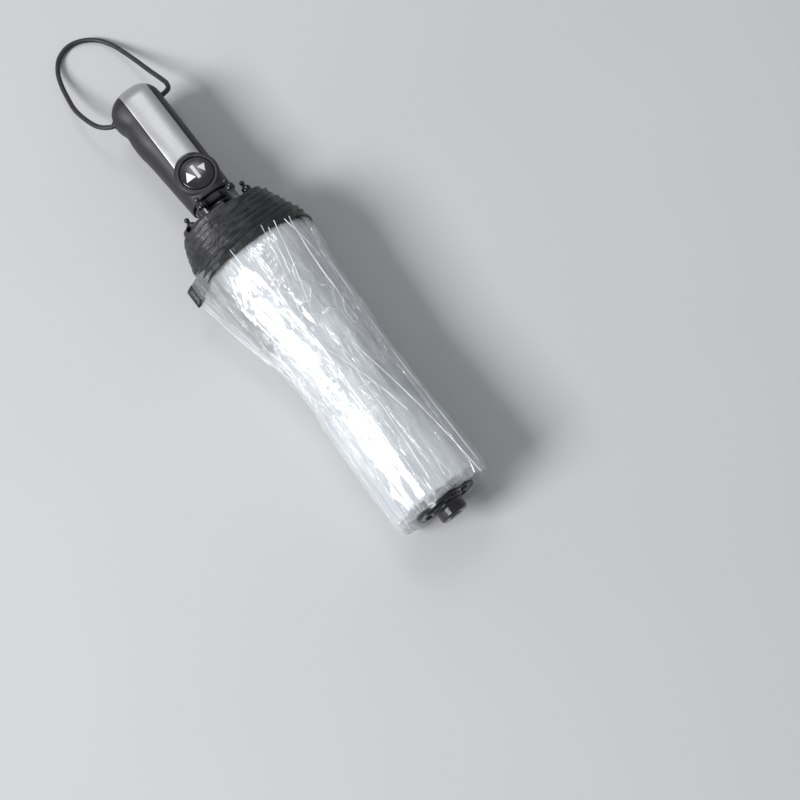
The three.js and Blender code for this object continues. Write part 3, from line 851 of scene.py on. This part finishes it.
def cord_grommet(side):
    """A moulded eye round the cord where it leaves the handle."""
    palm, thumb, top = grip_sides(12)
    out = palm if side < 0 else thumb
    y = side * (out - 0.25)
    profile = [(CORD_RADIUS + 0.12, -1.5), (CORD_RADIUS + 0.12, 0.35), (CORD_RADIUS + 0.35, 0.6),
               (CORD_RADIUS + 0.75, 0.55), (CORD_RADIUS + 1.05, 0.1), (CORD_RADIUS + 1.1, -1.5)]
    verts = []
    for r, h in profile:
        for k in range(28):
            a = TURN * k / 28
            verts.append(at(12 + r * math.cos(a), y + side * h, r * math.sin(a)))
    return verts, grid_faces(len(profile), 28, wrap=True)


verts, faces = joined(cord_grommet(-1), cord_grommet(1))
piece("cord_eyes", verts, faces, "root", GRIP)

# Silver inlay: a skin on the grip's crown that wraps over the domed end.
INLAY_HALF, INLAY_ARC = 8.3, 12.5
INLAY_HEIGHT, INLAY_EDGE, INLAY_TURN = 0.15, 0.45, -0.165
edge_profile = [(0.0, -0.9), (0.0, -0.12), (0.06, 0.03), (0.2, 0.12), (0.45, 0.15)]


def over_dome(y, angle):
    """The grip's surface at a turn round its domed end: 0 faces the end and 90 degrees is up."""
    return grip_hit(Vector((DOME, y, 0)), Vector((-math.cos(angle), 0, math.sin(angle))))


def over_top(u, y):
    return grip_hit(Vector((u, y, 0)), Vector((0, 0, 1)))


def raised(p, height):
    """A point of the grip's surface, moved out along its normal."""
    return at(*(p + grip_normal(*p) * height))


def arc_end(y, arc=INLAY_ARC):
    """Where an arc round the button crosses y."""
    return BUTTON_U - math.sqrt(arc ** 2 - y * y)


def inlay_columns():
    cols = [(-INLAY_HALF + d, h) for d, h in edge_profile]
    count = 30
    for k in range(1, count):
        cols.append((mix(-INLAY_HALF + INLAY_EDGE, INLAY_HALF - INLAY_EDGE, k / count),
                     INLAY_HEIGHT))
    cols += [(INLAY_HALF - d, h) for d, h in reversed(edge_profile)]
    return cols


inlay_verts = []
columns = inlay_columns()
front = [(INLAY_TURN + d / DOME, h) for d, h in edge_profile]
bend = [(mix(INLAY_TURN + INLAY_EDGE / DOME, math.pi / 2, k / 26), INLAY_HEIGHT)
        for k in range(1, 26)]
for angle, height in front + bend:
    inlay_verts += [raised(over_dome(y, angle), min(height, h)) for y, h in columns]
for k in range(56):
    inlay_verts += [raised(over_top(mix(DOME, arc_end(y) - INLAY_EDGE, k / 56), y),
                           min(INLAY_HEIGHT, h)) for y, h in columns]
for d, height in reversed(edge_profile):
    inlay_verts += [raised(over_top(arc_end(y) - d, y), min(height, h)) for y, h in columns]
rows = len(inlay_verts) // len(columns)
inlay = piece("inlay", inlay_verts, grid_faces(rows, len(columns)), "root", INLAY,
              sharp=60)
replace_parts(inlay, "handle_inlay")

# A dark seam round the inlay, just over the grip's surface.
SEAM_GAP, SEAM_HALF, SEAM_LIFT, SEAM_TURN = 0.12, 0.19, 0.03, -0.168
seam_verts = []
seam = []
for k in range(20):
    seam.append(("bend", mix(SEAM_TURN, math.pi / 2, k / 19), -1))
for k in range(40):
    seam.append(("flat", k / 39, -1))
for k in range(1, 40):
    seam.append(("arc", k / 40, 0))
for k in range(40):
    seam.append(("flat", 1 - k / 39, 1))
for k in range(20):
    seam.append(("bend", mix(math.pi / 2, SEAM_TURN, k / 19), 1))
for k in range(1, 20):
    seam.append(("front", k / 20, 0))
for kind, t, side in seam:
    for off in (-SEAM_HALF, SEAM_HALF):
        y_edge = side * (INLAY_HALF + SEAM_GAP + off)
        arc = INLAY_ARC - off - SEAM_GAP
        if kind == "bend":
            p = over_dome(y_edge, t)
        elif kind == "flat":
            u_end = BUTTON_U - math.sqrt(arc ** 2 - min(y_edge * y_edge, arc * arc - 1))
            p = over_top(mix(DOME, u_end, t), y_edge)
        elif kind == "arc":
            y = mix(-INLAY_HALF, INLAY_HALF, t)
            p = over_top(arc_end(y, arc), y)
        else:
            p = over_dome(mix(INLAY_HALF, -INLAY_HALF, t), SEAM_TURN - (off + SEAM_GAP) / DOME)
        seam_verts.append(raised(p, SEAM_LIFT))
faces = grid_faces(len(seam), 2)
faces.append((2 * len(seam) - 2, 2 * len(seam) - 1, 1, 0))
piece("inlay_seam", seam_verts, faces, "root", GLOSS, sharp=80)

# ------------------------------------------------------------------ button


def button_height(r):
    """The button's face: a shallow crown inside a rolled edge."""
    if r > BUTTON_RADIUS - 0.9:
        t = (r - (BUTTON_RADIUS - 0.9)) / 0.9
        return BUTTON_TOP - 0.75 - 0.9 * (1 - math.sqrt(max(0.0, 1 - t * t)))
    return BUTTON_TOP - 0.75 * (r / (BUTTON_RADIUS - 0.9)) ** 2


profile = [(BUTTON_TOP - 3.0, 0.0), (BUTTON_TOP - 3.0, BUTTON_RADIUS)]
profile += [(button_height(BUTTON_RADIUS - 0.9 * (1 - math.cos(k / 8 * math.pi / 2))),
             BUTTON_RADIUS - 0.9 * (1 - math.cos(k / 8 * math.pi / 2))) for k in range(0, 9)]
profile += [(button_height(r), r) for r in (8.0, 7.2, 6.2, 5.2, 4.2, 3.2, 2.2, 1.2)]
profile += [(BUTTON_TOP, 0.0)]
verts, faces = lathe(profile, 96, centre=BUTTON_U)
button = piece("open_button", verts, faces, "button", BUTTON)
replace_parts(button, "push_button")

SPRING_LOW, SPRING_HIGH = 8.2, 11.2
coil = [at(BUTTON_U + 3.5 * math.cos(q / 90 * 3 * TURN), 3.5 * math.sin(q / 90 * 3 * TURN),
           mix(SPRING_LOW, SPRING_HIGH, q / 90)) for q in range(91)]
verts, faces = tube(coil, 0.36 * MM, 10)
spring = piece("press_spring", verts, faces, "root", STEEL)
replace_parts(spring, "button_spring")
at(BUTTON_U, 0, SPRING_LOW - 0.4)
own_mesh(spring)


def mark(name, corners, material):
    """A printed shape on the button, given by its corners in mm from the button's centre."""
    bm = bmesh.new()
    bm.faces.new([bm.verts.new((x, y, 0)) for x, y in corners])
    bmesh.ops.triangulate(bm, faces=bm.faces)
    for _ in range(4):
        bmesh.ops.subdivide_edges(bm, edges=bm.edges[:], cuts=1, use_grid_fill=True)
    for v in bm.verts:
        x, y = v.co.x, v.co.y
        v.co = at(BUTTON_U + x, y, button_height(math.hypot(x, y)) + 0.035)
    mesh = bpy.data.meshes.new(name)
    bm.to_mesh(mesh)
    bm.free()
    mesh.materials.append(material)
    obj = new_object(name, mesh)
    obj.data.shade_smooth()
    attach(obj, "button")
    return obj


mark("open_mark", [(2.0, -7.6), (2.0, -1.7), (-3.2, -4.6)], INK)
mark("between_mark", [(-5.0, -1.15), (3.6, -1.15), (3.6, 0.75), (-5.0, 0.75)], INK_GREY)
mark("close_mark", [(-2.5, 1.9), (-2.5, 6.6), (2.0, 4.4)], INK_GREY)

# ------------------------------------------------------------------ folded canopy
FILM_OUTLINE = [
    (116, 31.8, 31.5, 28.2), (124, 33.0, 34.8, 29.2), (133, 33.2, 34.4, 29.8),
    (149, 31.5, 31.4, 29.2), (165, 29.4, 30.2, 28.4), (180, 27.2, 29.6, 27.4),
    (198, 25.4, 27.6, 26.8), (210, 25.2, 27.0, 27), (236, 27.2, 27.6, 27.5),
    (262, 28.2, 28.2, 27.4), (285, 28.6, 27.8, 27), (292, 28.4, 27.0, 26.4),
    (297, 27.6, 26.2, 25.8)]
HEM_OUTLINE = [(85, 15.5, 15.5, 16.5), (88, 20.4, 18.6, 19.5), (92.6, 24.6, 21.6, 22.4),
               (97, 26.8, 25.4, 24.6), (102, 28.6, 27.4, 26.2), (107.5, 30.2, 29.4, 27.4),
               (114, 30.8, 32.6, 28), (120, 31.2, 34.0, 28.3), (125, 31.4, 34.6, 28.4)]
UNDER = -25.7


def section(outline, u, angle, inset=0.0):
    """A point of the bundle's outer form, mm off the axis, with angle 0 at +Y and 90 degrees up."""
    palm, thumb, top = along(outline, u)
    c, s = math.cos(angle), math.sin(angle)
    across = (palm if c < 0 else thumb) - inset
    upright = (28 if s < 0 else top) - inset
    p = 2.25
    y = math.copysign(abs(c) ** (2 / p), c) * across
    z = math.copysign(abs(s) ** (2 / p), s) * upright
    floor_at = UNDER + inset
    if z < floor_at:
        z = floor_at + (z - floor_at) * 0.04
    return y, z


def perlin(x, y, z):
    return noise.noise(Vector((x, y, z)))


def ridge(x, y, z):
    return (1 - min(1.0, abs(perlin(x, y, z)) * 2.4)) ** 2


def crinkle(u, angle, seed):
    """Radial unevenness of folded film, mm."""
    a = angle * 4.3
    long_folds = perlin(u / 85 + seed, a * 1.1, seed * 3.1) * 1.4
    pleats = ridge(u / 150 + seed, a * 1.7 + bump(u, 192, 30) * 0.5, seed * 1.3) * 0.75
    facets = perlin(u / 20 + seed, a * 1.8 + u / 48, seed * 1.7)
    sharp = ridge(u / 24, a * 1.2 + u / 40, seed * 2.3 + 7)
    middle = 0.12 + 0.88 * bump(u, 196, 38)
    return long_folds + pleats + (facets * 1.2 + sharp * 0.9) * middle + perlin(u / 12, a * 3,
                                                                               seed + 11) * 0.15


def pushed(u, y, z, out, low=-math.inf):
    """A point moved out from the pole's axis, and not below low."""
    r = math.hypot(y, z)
    k = (r + out) / r
    return at(u, y * k, max(z * k, low))


CORE_START, CORE_END, CORE_INSET = 119.0, 287.0, 2.4


def core_piece():
    rows, cols = 120, 144
    verts = []
    for i in range(rows):
        u = mix(CORE_START, CORE_END, i / (rows - 1))
        for j in range(cols):
            a = TURN * j / cols
            inset = CORE_INSET + 1.2 * bump(u, 124, 12) + 2.0 * smooth((125 - u) / 5)
            y, z = section(FILM_OUTLINE, u, a, inset)
            verts.append(pushed(u, y, z, crinkle(u, a, 1.0) * 0.8, UNDER + 1.2))
    faces = grid_faces(rows, cols, wrap=True)
    # the far end turns in to the rosette in soft pleats
    first = len(verts)
    steps = 9
    for i in range(steps):
        t = (i + 1) / steps
        for j in range(cols):
            a = TURN * j / cols
            y, z = section(FILM_OUTLINE, CORE_END, a, CORE_INSET)
            r = math.hypot(y, z)
            target_r = mix(r, 14.5, t)
            fold = math.sin(a * 13 + 2 * t) * 0.9 * math.sin(math.pi * min(1, t * 1.2))
            u = CORE_END - 1.2 * t + fold
            verts.append(at(u, y / r * target_r, z / r * target_r))
    for j in range(cols):
        k = (j + 1) % cols
        faces.append(((rows - 1) * cols + j, (rows - 1) * cols + k, first + k, first + j))
    faces += grid_faces(steps, cols, wrap=True, first=first)
    return verts, faces


verts, faces = core_piece()
core = piece("film_inner_folds", verts, faces, "canopy_head", CORE, sharp=180)


def sheet_area(obj):
    return sum(p.area for p in obj.data.polygons)


def film_flap(index):
    """One gore of the canopy as it is wrapped round the bundle: a free folded edge on top."""
    seed = 3.0 + index * 1.9
    start = math.radians(-70 + index * 60)
    span = math.radians(172)
    cols, rows = 56, 110
    back_cols = 5
    verts = []
    for i in range(rows):
        t = i / (rows - 1)
        for j in range(cols + back_cols):
            s = min(1.0, j / (cols - 1))
            u_end = 291.3 + 2.0 * perlin(s * 7, index * 2.0, 5.0)
            u_start = (120.6 + 1.6 * perlin(s * 4, index * 3.0, 9.0)
                       - 3.4 * smooth((s - 0.93) / 0.07))
            u = mix(u_start, u_end, t)
            twist = math.radians(16) * (t - 0.4) + math.radians(5) * perlin(t * 2.2, index, 3.0)
            a = start + span * s + twist
            level = mix(-1.9, 1.0, smooth(s))
            over = j - (cols - 1)
            if over > 0:
                a -= (over - 0.6) * 0.022
                level -= 0.55 + 0.12 * over
            level -= 3.4 * smooth((126.5 - u) / 4.5)
            if t > 0.955:
                level -= 1.2 * ((t - 0.955) / 0.045) ** 2
            y, z = section(FILM_OUTLINE, u, a)
            d = level + crinkle(u, a, seed if s > 0.15 else mix(1.0, seed, s / 0.15)) * 0.62
            verts.append(pushed(u, y, z, d, UNDER + 0.15 * index))
    return verts, grid_faces(rows, cols + back_cols)


flaps = []
for n in range(SPOKES):
    verts, faces = film_flap(n)
    flap = piece(f"film_flap_{n + 1}", verts, faces, "canopy_head", FILM, sharp=180)
    flaps.append(flap)


# Loose edges that fan out from the tie strap and close in on the waist, on the palm side.
def fan_fold(index):
    verts = []
    rows, cols = 60, 14
    for i in range(rows):
        t = i / (rows - 1)
        u = mix(114.5 + 0.8 * index, 182 - 4 * index, t)
        palm = along(FILM_OUTLINE, u)[0]
        reach = palm + 0.6 + mix(7.6 - 2.0 * index, 0.0, t ** 0.9)
        for j in range(cols):
            s = j / (cols - 1)
            fold = s * 2 if s < 0.5 else 2 - s * 2  # out to the fold and back
            y0, z0 = section(FILM_OUTLINE, u, math.radians(150 - 8 * index))
            base = Vector((y0, z0))
            tip = Vector((-reach, 4.0 + 2.4 * index - 9 * (1 - t) * 0.4))
            under = Vector((-palm * 0.97, -6.0 + index))
            root = base if s < 0.5 else under
            p = root.lerp(tip, smooth(fold) if s < 0.5 else fold)
            p.y += 0.5 * perlin(u / 14, s * 4, index)
            verts.append(at(u, p.x, p.y))
    return verts, grid_faces(rows, cols)


for n in range(3):
    verts, faces = fan_fold(n)
    loose = piece(f"film_fan_{n + 1}", verts, faces, "canopy_head", FAN_FILM,
                  sharp=180)
    flaps.append(loose)

# Sharp folds: where the film is creased double, its edge shows as a bright line, drawn here as thin
# pale tubes (a painted highlight).
FOLDS = [  # (along, across) at the line's two ends and the bow between them, mm
    ((121.5, -12.5), (185.9, -8.5), -1.5), ((120.5, 7.2), (182.8, -7.3), 1.5),
    ((121.6, 14.0), (182.2, -1.5), 1.2), ((123.0, 22.1), (190.2, 18.1), -1.2),
    ((123.5, 9.6), (160.0, 2.0), 0.5), ((123.5, 19.2), (150.0, 23.0), 0.6),
    ((198.0, 1.0), (281.6, -3.4), 1.0), ((206.0, -8.0), (262.0, -22.6), -1.0),
    ((203.0, -12.0), (294.0, -24.0), -1.6), ((200.0, 8.0), (292.0, 20.0), 1.2),
    ((152.0, 26.0), (287.0, 22.8), -1.5), ((196.0, -4.0), (246.0, 9.0), 1.0)]


def fold_point(u, y, lift):
    """A point on top of the bundle, over the hem or the film."""
    best = 0.0
    for outline in (FILM_OUTLINE, HEM_OUTLINE):
        if outline is HEM_OUTLINE and u > 126:
            continue
        palm, thumb, top = along(outline, u)
        share = min(0.995, abs(y) / (palm if y < 0 else thumb))
        best = max(best, top * (1 - share ** 2.25) ** (1 / 2.25))
    out = Vector((y, best)).normalized() * lift
    return u, y + out.x, best + out.y


lines = []
for index, ((u0, y0), (u1, y1), bow) in enumerate(FOLDS):
    pts = []
    for k in range(41):
        t = k / 40
        u = mix(u0, u1, t)
        y = mix(y0, y1, t) + bow * math.sin(math.pi * t) + 0.3 * perlin(t * 5, index, 2.0)
        lift = 1.2 + 0.5 * smooth((127 - u) / 5) + 0.35 * crinkle(u, math.pi / 2, 1.0)
        pts.append(at(*fold_point(u, y, lift)))
    lines.append(tube(pts, 0.21 * MM, 6))
# more painted highlights: pale tubes for the fold edges on the palm side
for (u0, y0, z0), (u1, y1, z1) in [((121.8, -36.2, 2.0), (192.0, -25.8, 1.0)),
                                   ((125.4, -38.6, 0.5), (194.2, -24.9, -2.0)),
                                   ((128.0, -39.4, -0.5), (176.0, -29.4, -3.0)),
                                   ((119.6, -34.0, 4.0), (168.0, -30.0, 4.0))]:
    pts = [at(mix(u0, u1, k / 30), mix(y0, y1, k / 30) - 0.6 * math.sin(math.pi * k / 30),
              mix(z0, z1, k / 30)) for k in range(31)]
    lines.append(tube(pts, 0.24 * MM, 6))
verts, faces = joined(*lines)
flaps.append(piece("film_fold_highlights", verts, faces, "canopy_head", EDGE))

# Hem: six black bands wound like a six-start thread, each lapping the one before.
LEAD = 26.0  # how far a band climbs in one turn
HEM_START, HEM_END = 87.2, 124.2


def hem_wrinkle(u, a, seed):
    return (0.5 * perlin(u / 5, a * 3.2, seed) + 0.3 * perlin(u / 2.0, a * 5, seed + 4)
            + 0.3 * perlin(u / 9, a * 12, seed + 9))


def mouth_at(a):
    """Where the hem starts: near the rib tips at the palm side, further on along the top."""
    return 87.4 + 7.2 * max(0.0, math.sin(a)) ** 1.2 + 3.4 * max(0.0, math.cos(a))


def drawn_back(u, a):
    first = mouth_at(a)
    return first + (u - HEM_START) * (HEM_END - first) / (HEM_END - HEM_START)


def hem_edge(turn, index):
    """Where a band's free edge lies after a share of a turn."""
    return HEM_START + 0.4 + LEAD * turn + 0.7 * perlin(turn * 9, index * 2, 6.0)


def hem_flap(index):
    start = math.radians(150 + index * 60)
    cols, rows = 300, 15
    verts = []
    for j in range(cols):
        s = j / (cols - 1) * 1.36
        a = start + TURN * s
        u0 = hem_edge(s, index)
        for i in range(rows):
            if i < 4:  # the free edge is rolled under
                du = (1.6, 0.45, 0.0, 0.35)[i]
                level = (-1.4, -1.0, 0.3, 1.35)[i]
            else:
                v = (i - 4) / (rows - 5)
                du = 0.9 + 9.4 * v
                level = 1.7 - 2.6 * v ** 0.8 - 0.9 * v * v
            u = u0 + du
            end = HEM_END + 0.6 * perlin(a * 3, index, 9.0)
            if u > end:
                u = end
                level = min(level, 0.2)
            u = drawn_back(u, a)
            y, z = section(HEM_OUTLINE, u, a)
            level *= 1.0 + 0.45 * perlin(a * 3.1, index * 1.7, 2.2) + 0.35 * max(0.0, -math.cos(a))
            d = level + hem_wrinkle(u * 0.7 - u0 * 0.5, a, index * 1.3) * (0.8 if i > 3 else 0.5)
            verts.append(pushed(u, y, z, d, UNDER + 0.08 * index))
    return verts, grid_faces(cols, rows)


hems = []
for n in range(SPOKES):
    verts, faces = hem_flap(n)
    hems.append(piece(f"hem_flap_{n + 1}", verts, faces, "canopy_head", HEM, sharp=75))


def hem_lining():
    """The inner turns of the hem: it closes the mouth of the bundle round the ribs."""
    cols, rows = 168, 34
    verts = []
    for i in range(rows):
        t = i / (rows - 1)
        for j in range(cols):
            a = TURN * j / cols
            ruffle = 0.8 * perlin(a * 6, t * 3, 4.0) + 0.5 * perlin(a * 14, t * 5, 8.0)
            lip = 1.6 * math.cos(a - math.radians(200)) + 0.8 * perlin(a * 3, 2, 2)
            if t < 0.35:
                q = t / 0.35
                first = drawn_back(88.0 - lip, a)
                u = mix(103.0, first, smooth(q)) + ruffle * 0.5
                y, z = section(HEM_OUTLINE, max(first, 88.0), a)
                r = mix(14.6, math.hypot(y, z) - 0.8, q ** 1.4) + ruffle * 0.6
                y, z = r * math.cos(a), r * math.sin(a)
            else:
                q = (t - 0.35) / 0.65
                u = drawn_back(mix(88.0 - lip, HEM_END, q ** 1.25), a)
                y, z = section(HEM_OUTLINE, max(u, 87.0), a)
                r = math.hypot(y, z)
                k = (r - 1.0 + ruffle * 0.3) / r
                y, z = y * k, z * k
            verts.append(at(u, y, max(z, UNDER + 0.6)))
    return verts, grid_faces(rows, cols, wrap=True)


verts, faces = hem_lining()
hems.append(piece("hem_inner_turns", verts, faces, "canopy_head", HEM, sharp=75))


def thicken(obj, thickness, offset):
    cloth = obj.modifiers.new("cloth", "SOLIDIFY")
    cloth.thickness = thickness
    cloth.offset = offset


def hem_corner():
    """A corner of the outermost turn that stands out past the seam on the thumb side."""
    verts = []
    rows, cols = 30, 22
    for i in range(rows):
        s = i / (rows - 1)
        a = math.radians(mix(48, -34, s))
        for j in range(cols):
            t = j / (cols - 1)
            lobe = math.sin(math.pi * min(1, max(0, s)) ** 0.9) ** 0.8
            u = mix(109.0, 122.5 + 4.2 * lobe, t)
            y, z = section(HEM_OUTLINE, min(u, 125), a)
            curl = (0.3 + 1.9 * lobe * smooth((t - 0.35) / 0.65)
                    - 1.8 * smooth((t - 0.86) / 0.14) * lobe)
            d = curl + 0.35 * perlin(s * 5, t * 6, 1.0)
            verts.append(pushed(u, y, z, d))
    return verts, grid_faces(rows, cols)


verts, faces = hem_corner()
corner = piece("hem_corner", verts, faces, "canopy_head", HEM, sharp=75)
thicken(corner, 0.0008, -1)
hems.append(corner)
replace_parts(core, "canopy_film")
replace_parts(hems[-2], "hem_band")


# Tie strap: its end stands off the hem on the palm side, rolled up on itself.
STRAP_WIDTH = 10.2


def strap():
    path = [(-28.5, 3.0), (-31.0, 2.6), (-33.5, 1.8), (-36.0, 1.6)]
    centre, radius = Vector((-38.2, -0.6)), 2.9
    for k in range(34):
        a = math.radians(95) + k / 33 * math.radians(640)
        r = radius - 1.7 * k / 33
        path.append((centre.x + r * math.cos(a) * 1.25, centre.y + r * math.sin(a)))
    verts = []
    for k, (y, z) in enumerate(path):
        for j in range(11):
            w = j / 10 - 0.5
            u = 119.8 + w * STRAP_WIDTH + (y + 36) * -0.42
            verts.append(at(u, y, z + 0.2 * perlin(k * 0.35, j * 0.4, 3)))
    return verts, grid_faces(len(path), 11)


verts, faces = strap()
tie = piece("strap_roll", verts, faces, "canopy_head", HEM, sharp=60)
thicken(tie, 0.0007, 0)
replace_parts(tie, "tie_strap")

# ------------------------------------------------------------------ ribs
# The spoke plane at rest, as (along the pole, off the axis), and each rib's whole turn.
HUB, KNEE, HIP, TIP = (285.0, 11.0), (114.0, 12.2), (280.0, 16.4), (82.5, 18.4)
RIB_TURNS = [math.radians(x) for x in (79.598, -112.551, 51.420)]
ZONES = ("inner", "middle", "outer")
CAP_START, CAP_END = 6.5, 2.0  # the tip cap, back from the rib's end
EYE_RADIUS, BALL_RADIUS = 1.5, 1.5


def spoke_point(u, r, t, k):
    c, n = math.cos(TURN * k / SPOKES), math.sin(TURN * k / SPOKES)
    return at(u, r * c - t * n, r * n + t * c)


def along_rib(k, start, end):
    """Places (along, up, across) on a rib of spoke k that runs from start to end."""
    du, dr = end[0] - start[0], end[1] - start[1]
    length = math.hypot(du, dr)
    du, dr = du / length, dr / length

    def place(u, y, z):
        return spoke_point(start[0] + u * du - y * dr, start[1] + u * dr + y * du, z, k)
    return place, length


for k in range(SPOKES):
    name = f"outer_rib_{k + 1}"
    place, length = along_rib(k, HIP, TIP)
    rod = lathe([(-1.2, 0), (-1.2, 0.8), (-0.9, 1.0), (4, 1.0), (length - 4, 0.85),
                 (length - 1.6, 0.8), (length - 1.6, 0)], 18, place)
    eye = [place(EYE_RADIUS * math.cos(TURN * q / 24), EYE_RADIUS * math.sin(TURN * q / 24), side)
           for side in (-1.0, 1.0) for q in range(24)]
    eye_ends = [tuple(range(24)), tuple(range(24, 48))]
    verts, faces = joined(rod, (eye, grid_faces(2, 24, wrap=True) + eye_ends))
    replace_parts(piece(f"outer_rod_{k + 1}", verts, faces, name, FIBRE), name)
    cap = lathe(rounded([(length - CAP_START, 0), (length - CAP_START, 2.0),
                         (length - CAP_START + 0.9, 2.75), (length - 3.4, 2.75),
                         (length - CAP_END, 1.25), (length - 1.2, 0.95), (length - 1.2, 0)], 0.3),
                32, place)
    ball = lathe([(length - BALL_RADIUS * math.cos(math.pi * q / 14),
                   BALL_RADIUS * math.sin(math.pi * q / 14)) for q in range(15)], 24, place)
    verts, faces = joined(cap, ball)
    piece(f"rib_tip_{k + 1}", verts, faces, name, GLOSS)


def bead(u, low, high, width):
    return lathe(rounded([(u - width / 2, low), (u - width / 2, high), (u + width / 2, high),
                          (u + width / 2, low)], width * 0.35), 72)


# ------------------------------------------------------------------ runner and crown details
verts, faces = joined(bead(80.2, 9.4, 11.35, 1.1), bead(83.4, 9.8, 11.9, 1.3),
                      bead(86.2, 9.8, 12.2, 1.3), bead(89.2, 9.8, 12.3, 1.6))
piece("runner_beads", verts, faces, "runner", GLOSS)
studs = []
for k in range(SPOKES):
    a = TURN * (k + 0.5) / SPOKES

    def on_face(u, y, z, a=a):
        return at(u, 12.9 * math.cos(a) + y, 12.9 * math.sin(a) + z)
    studs.append(lathe(rounded([(291.8, 0), (291.8, 2.1), (292.9, 1.7), (293.3, 0)], 0.35), 24,
                       on_face))
studs.append(lathe(rounded([(289.7, 17.0), (289.7, 17.75), (292.2, 17.75), (292.2, 16.4),
                            (291.8, 16.2), (291.8, 17.0)], 0.25), 96))
studs.append(lathe(rounded([(291.8, 8.6), (291.8, 10.2), (292.7, 9.8), (293.2, 9.0),
                            (293.2, 8.6)], 0.25), 96))
verts, faces = joined(*studs)
piece("rosette_studs", verts, faces, "canopy_head", GLOSS)
verts, faces = lathe(rounded([(299.9, 0), (300.45, 0), (300.45, 3.2), (299.9, 3.6)], 0.2), 48)
piece("ferrule_button", verts, faces, "canopy_head", GLOSS)

# ------------------------------------------------------------------ gores that spread
COS30 = math.cos(math.radians(30))
OPEN_GATHER = 7.0
MARGIN = OPEN_GATHER * COS30  # how far a gore reaches past its own rib while folded
FILM_LIFT = 2.3
HEM_WIDTH = 25.0


def turn_open(v, phi):
    return (v[0] * math.cos(phi) + v[1] * math.sin(phi),
            -v[0] * math.sin(phi) + v[1] * math.cos(phi))


rest_joints = [HUB, KNEE, HIP, TIP]
open_joints = [HUB]
for z in range(3):
    step = (rest_joints[z + 1][0] - rest_joints[z][0], rest_joints[z + 1][1] - rest_joints[z][1])
    step = turn_open(step, RIB_TURNS[z])
    open_joints.append((open_joints[z][0] + step[0], open_joints[z][1] + step[1]))
lifts = [turn_open((0, 1 if z != 1 else -1), RIB_TURNS[z]) for z in range(3)]


def joint_lift(z):
    """The film's side of the joint between two ribs, where both ribs agree."""
    if z == 0:
        return lifts[0]
    if z == 3:
        return lifts[2]
    a, b = lifts[z - 1], lifts[z]
    n = math.hypot(a[0] + b[0], a[1] + b[1])
    return ((a[0] + b[0]) / n, (a[1] + b[1]) / n)


def open_film(z, t):
    """The open film's line over a rib, (along the pole, off the axis)."""
    a, b = open_joints[z], open_joints[z + 1]
    n0, n1 = joint_lift(z), joint_lift(z + 1)
    nu, nr = mix(n0[0], n1[0], t), mix(n0[1], n1[1], t)
    u = mix(a[0], b[0], t) + nu * FILM_LIFT
    r = mix(a[1], b[1], t) + nr * FILM_LIFT
    if z == 0:
        u = mix(289.45, u, smooth((r - 18) / 22))
    return u, r


def gore(k, z, t0, t1, rows, sink=2.0):
    """One zone of one gore, drawn where it lies when open and carried back to rest."""
    phi = RIB_TURNS[z]
    slide = open_joints[z + 1][1] - OPEN_GATHER
    away = (math.sin(phi) / 2, -math.cos(phi) / 2, COS30)
    cols = 25
    verts = []
    for i in range(rows):
        t = mix(t0, t1, i / (rows - 1))
        u, r = open_film(z, t)
        for j in range(cols):
            s = j / (cols - 1)
            s = mix(s, smooth(s), 0.35)
            across = s * r * COS30
            low, high = 0.0, MARGIN
            for _ in range(40):
                tau = (low + high) / 2
                if tau + smooth(tau / MARGIN) * slide * COS30 < across:
                    low = tau
                else:
                    high = tau
            w = smooth(low / MARGIN)
            drop = sink * 4 * s * (1 - s) * min(1.0, max(0.0, (r - 20) / 110))
            p = (u - drop - open_joints[z][0], r - s * r / 2 - open_joints[z][1])
            c, n = math.cos(phi), math.sin(phi)
            p = (p[0] * c - p[1] * n + rest_joints[z][0], p[0] * n + p[1] * c + rest_joints[z][1])
            verts.append(spoke_point(p[0] - w * slide * away[0], p[1] - w * slide * away[1],
                                     across - w * slide * away[2], k))
    return verts, grid_faces(rows, cols)


outer_length = math.dist(HIP, TIP)
rim = 1 - (CAP_START - BALL_RADIUS) / outer_length
seam = rim - HEM_WIDTH / outer_length
for k in range(SPOKES):
    for z, zone in enumerate(ZONES):
        first = 0.032 if z == 0 else 0.0
        verts, faces = gore(k, z, first, seam if z == 2 else 1.0, 12)
        panel = piece(f"gore_{zone}_{k + 1}", verts, faces, None, SPREAD_FILM, 180)
        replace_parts(panel, f"{zone}_pleat_{k + 1}")
        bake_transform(panel)
    verts, faces = gore(k, 2, seam - 0.002, rim, 4)
    band = piece(f"rim_band_{k + 1}", verts, faces, None, HEM, 180)
    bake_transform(band)

# ------------------------------------------------------------------ the soft goods get meshes of their own, and their sheet areas are summed
for obj in flaps + hems + [core, tie]:
    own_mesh(obj)
for n in range(SPOKES):
    area = sheet_area(flaps[n])
    area = sheet_area(hems[n])
area = sheet_area(corner)
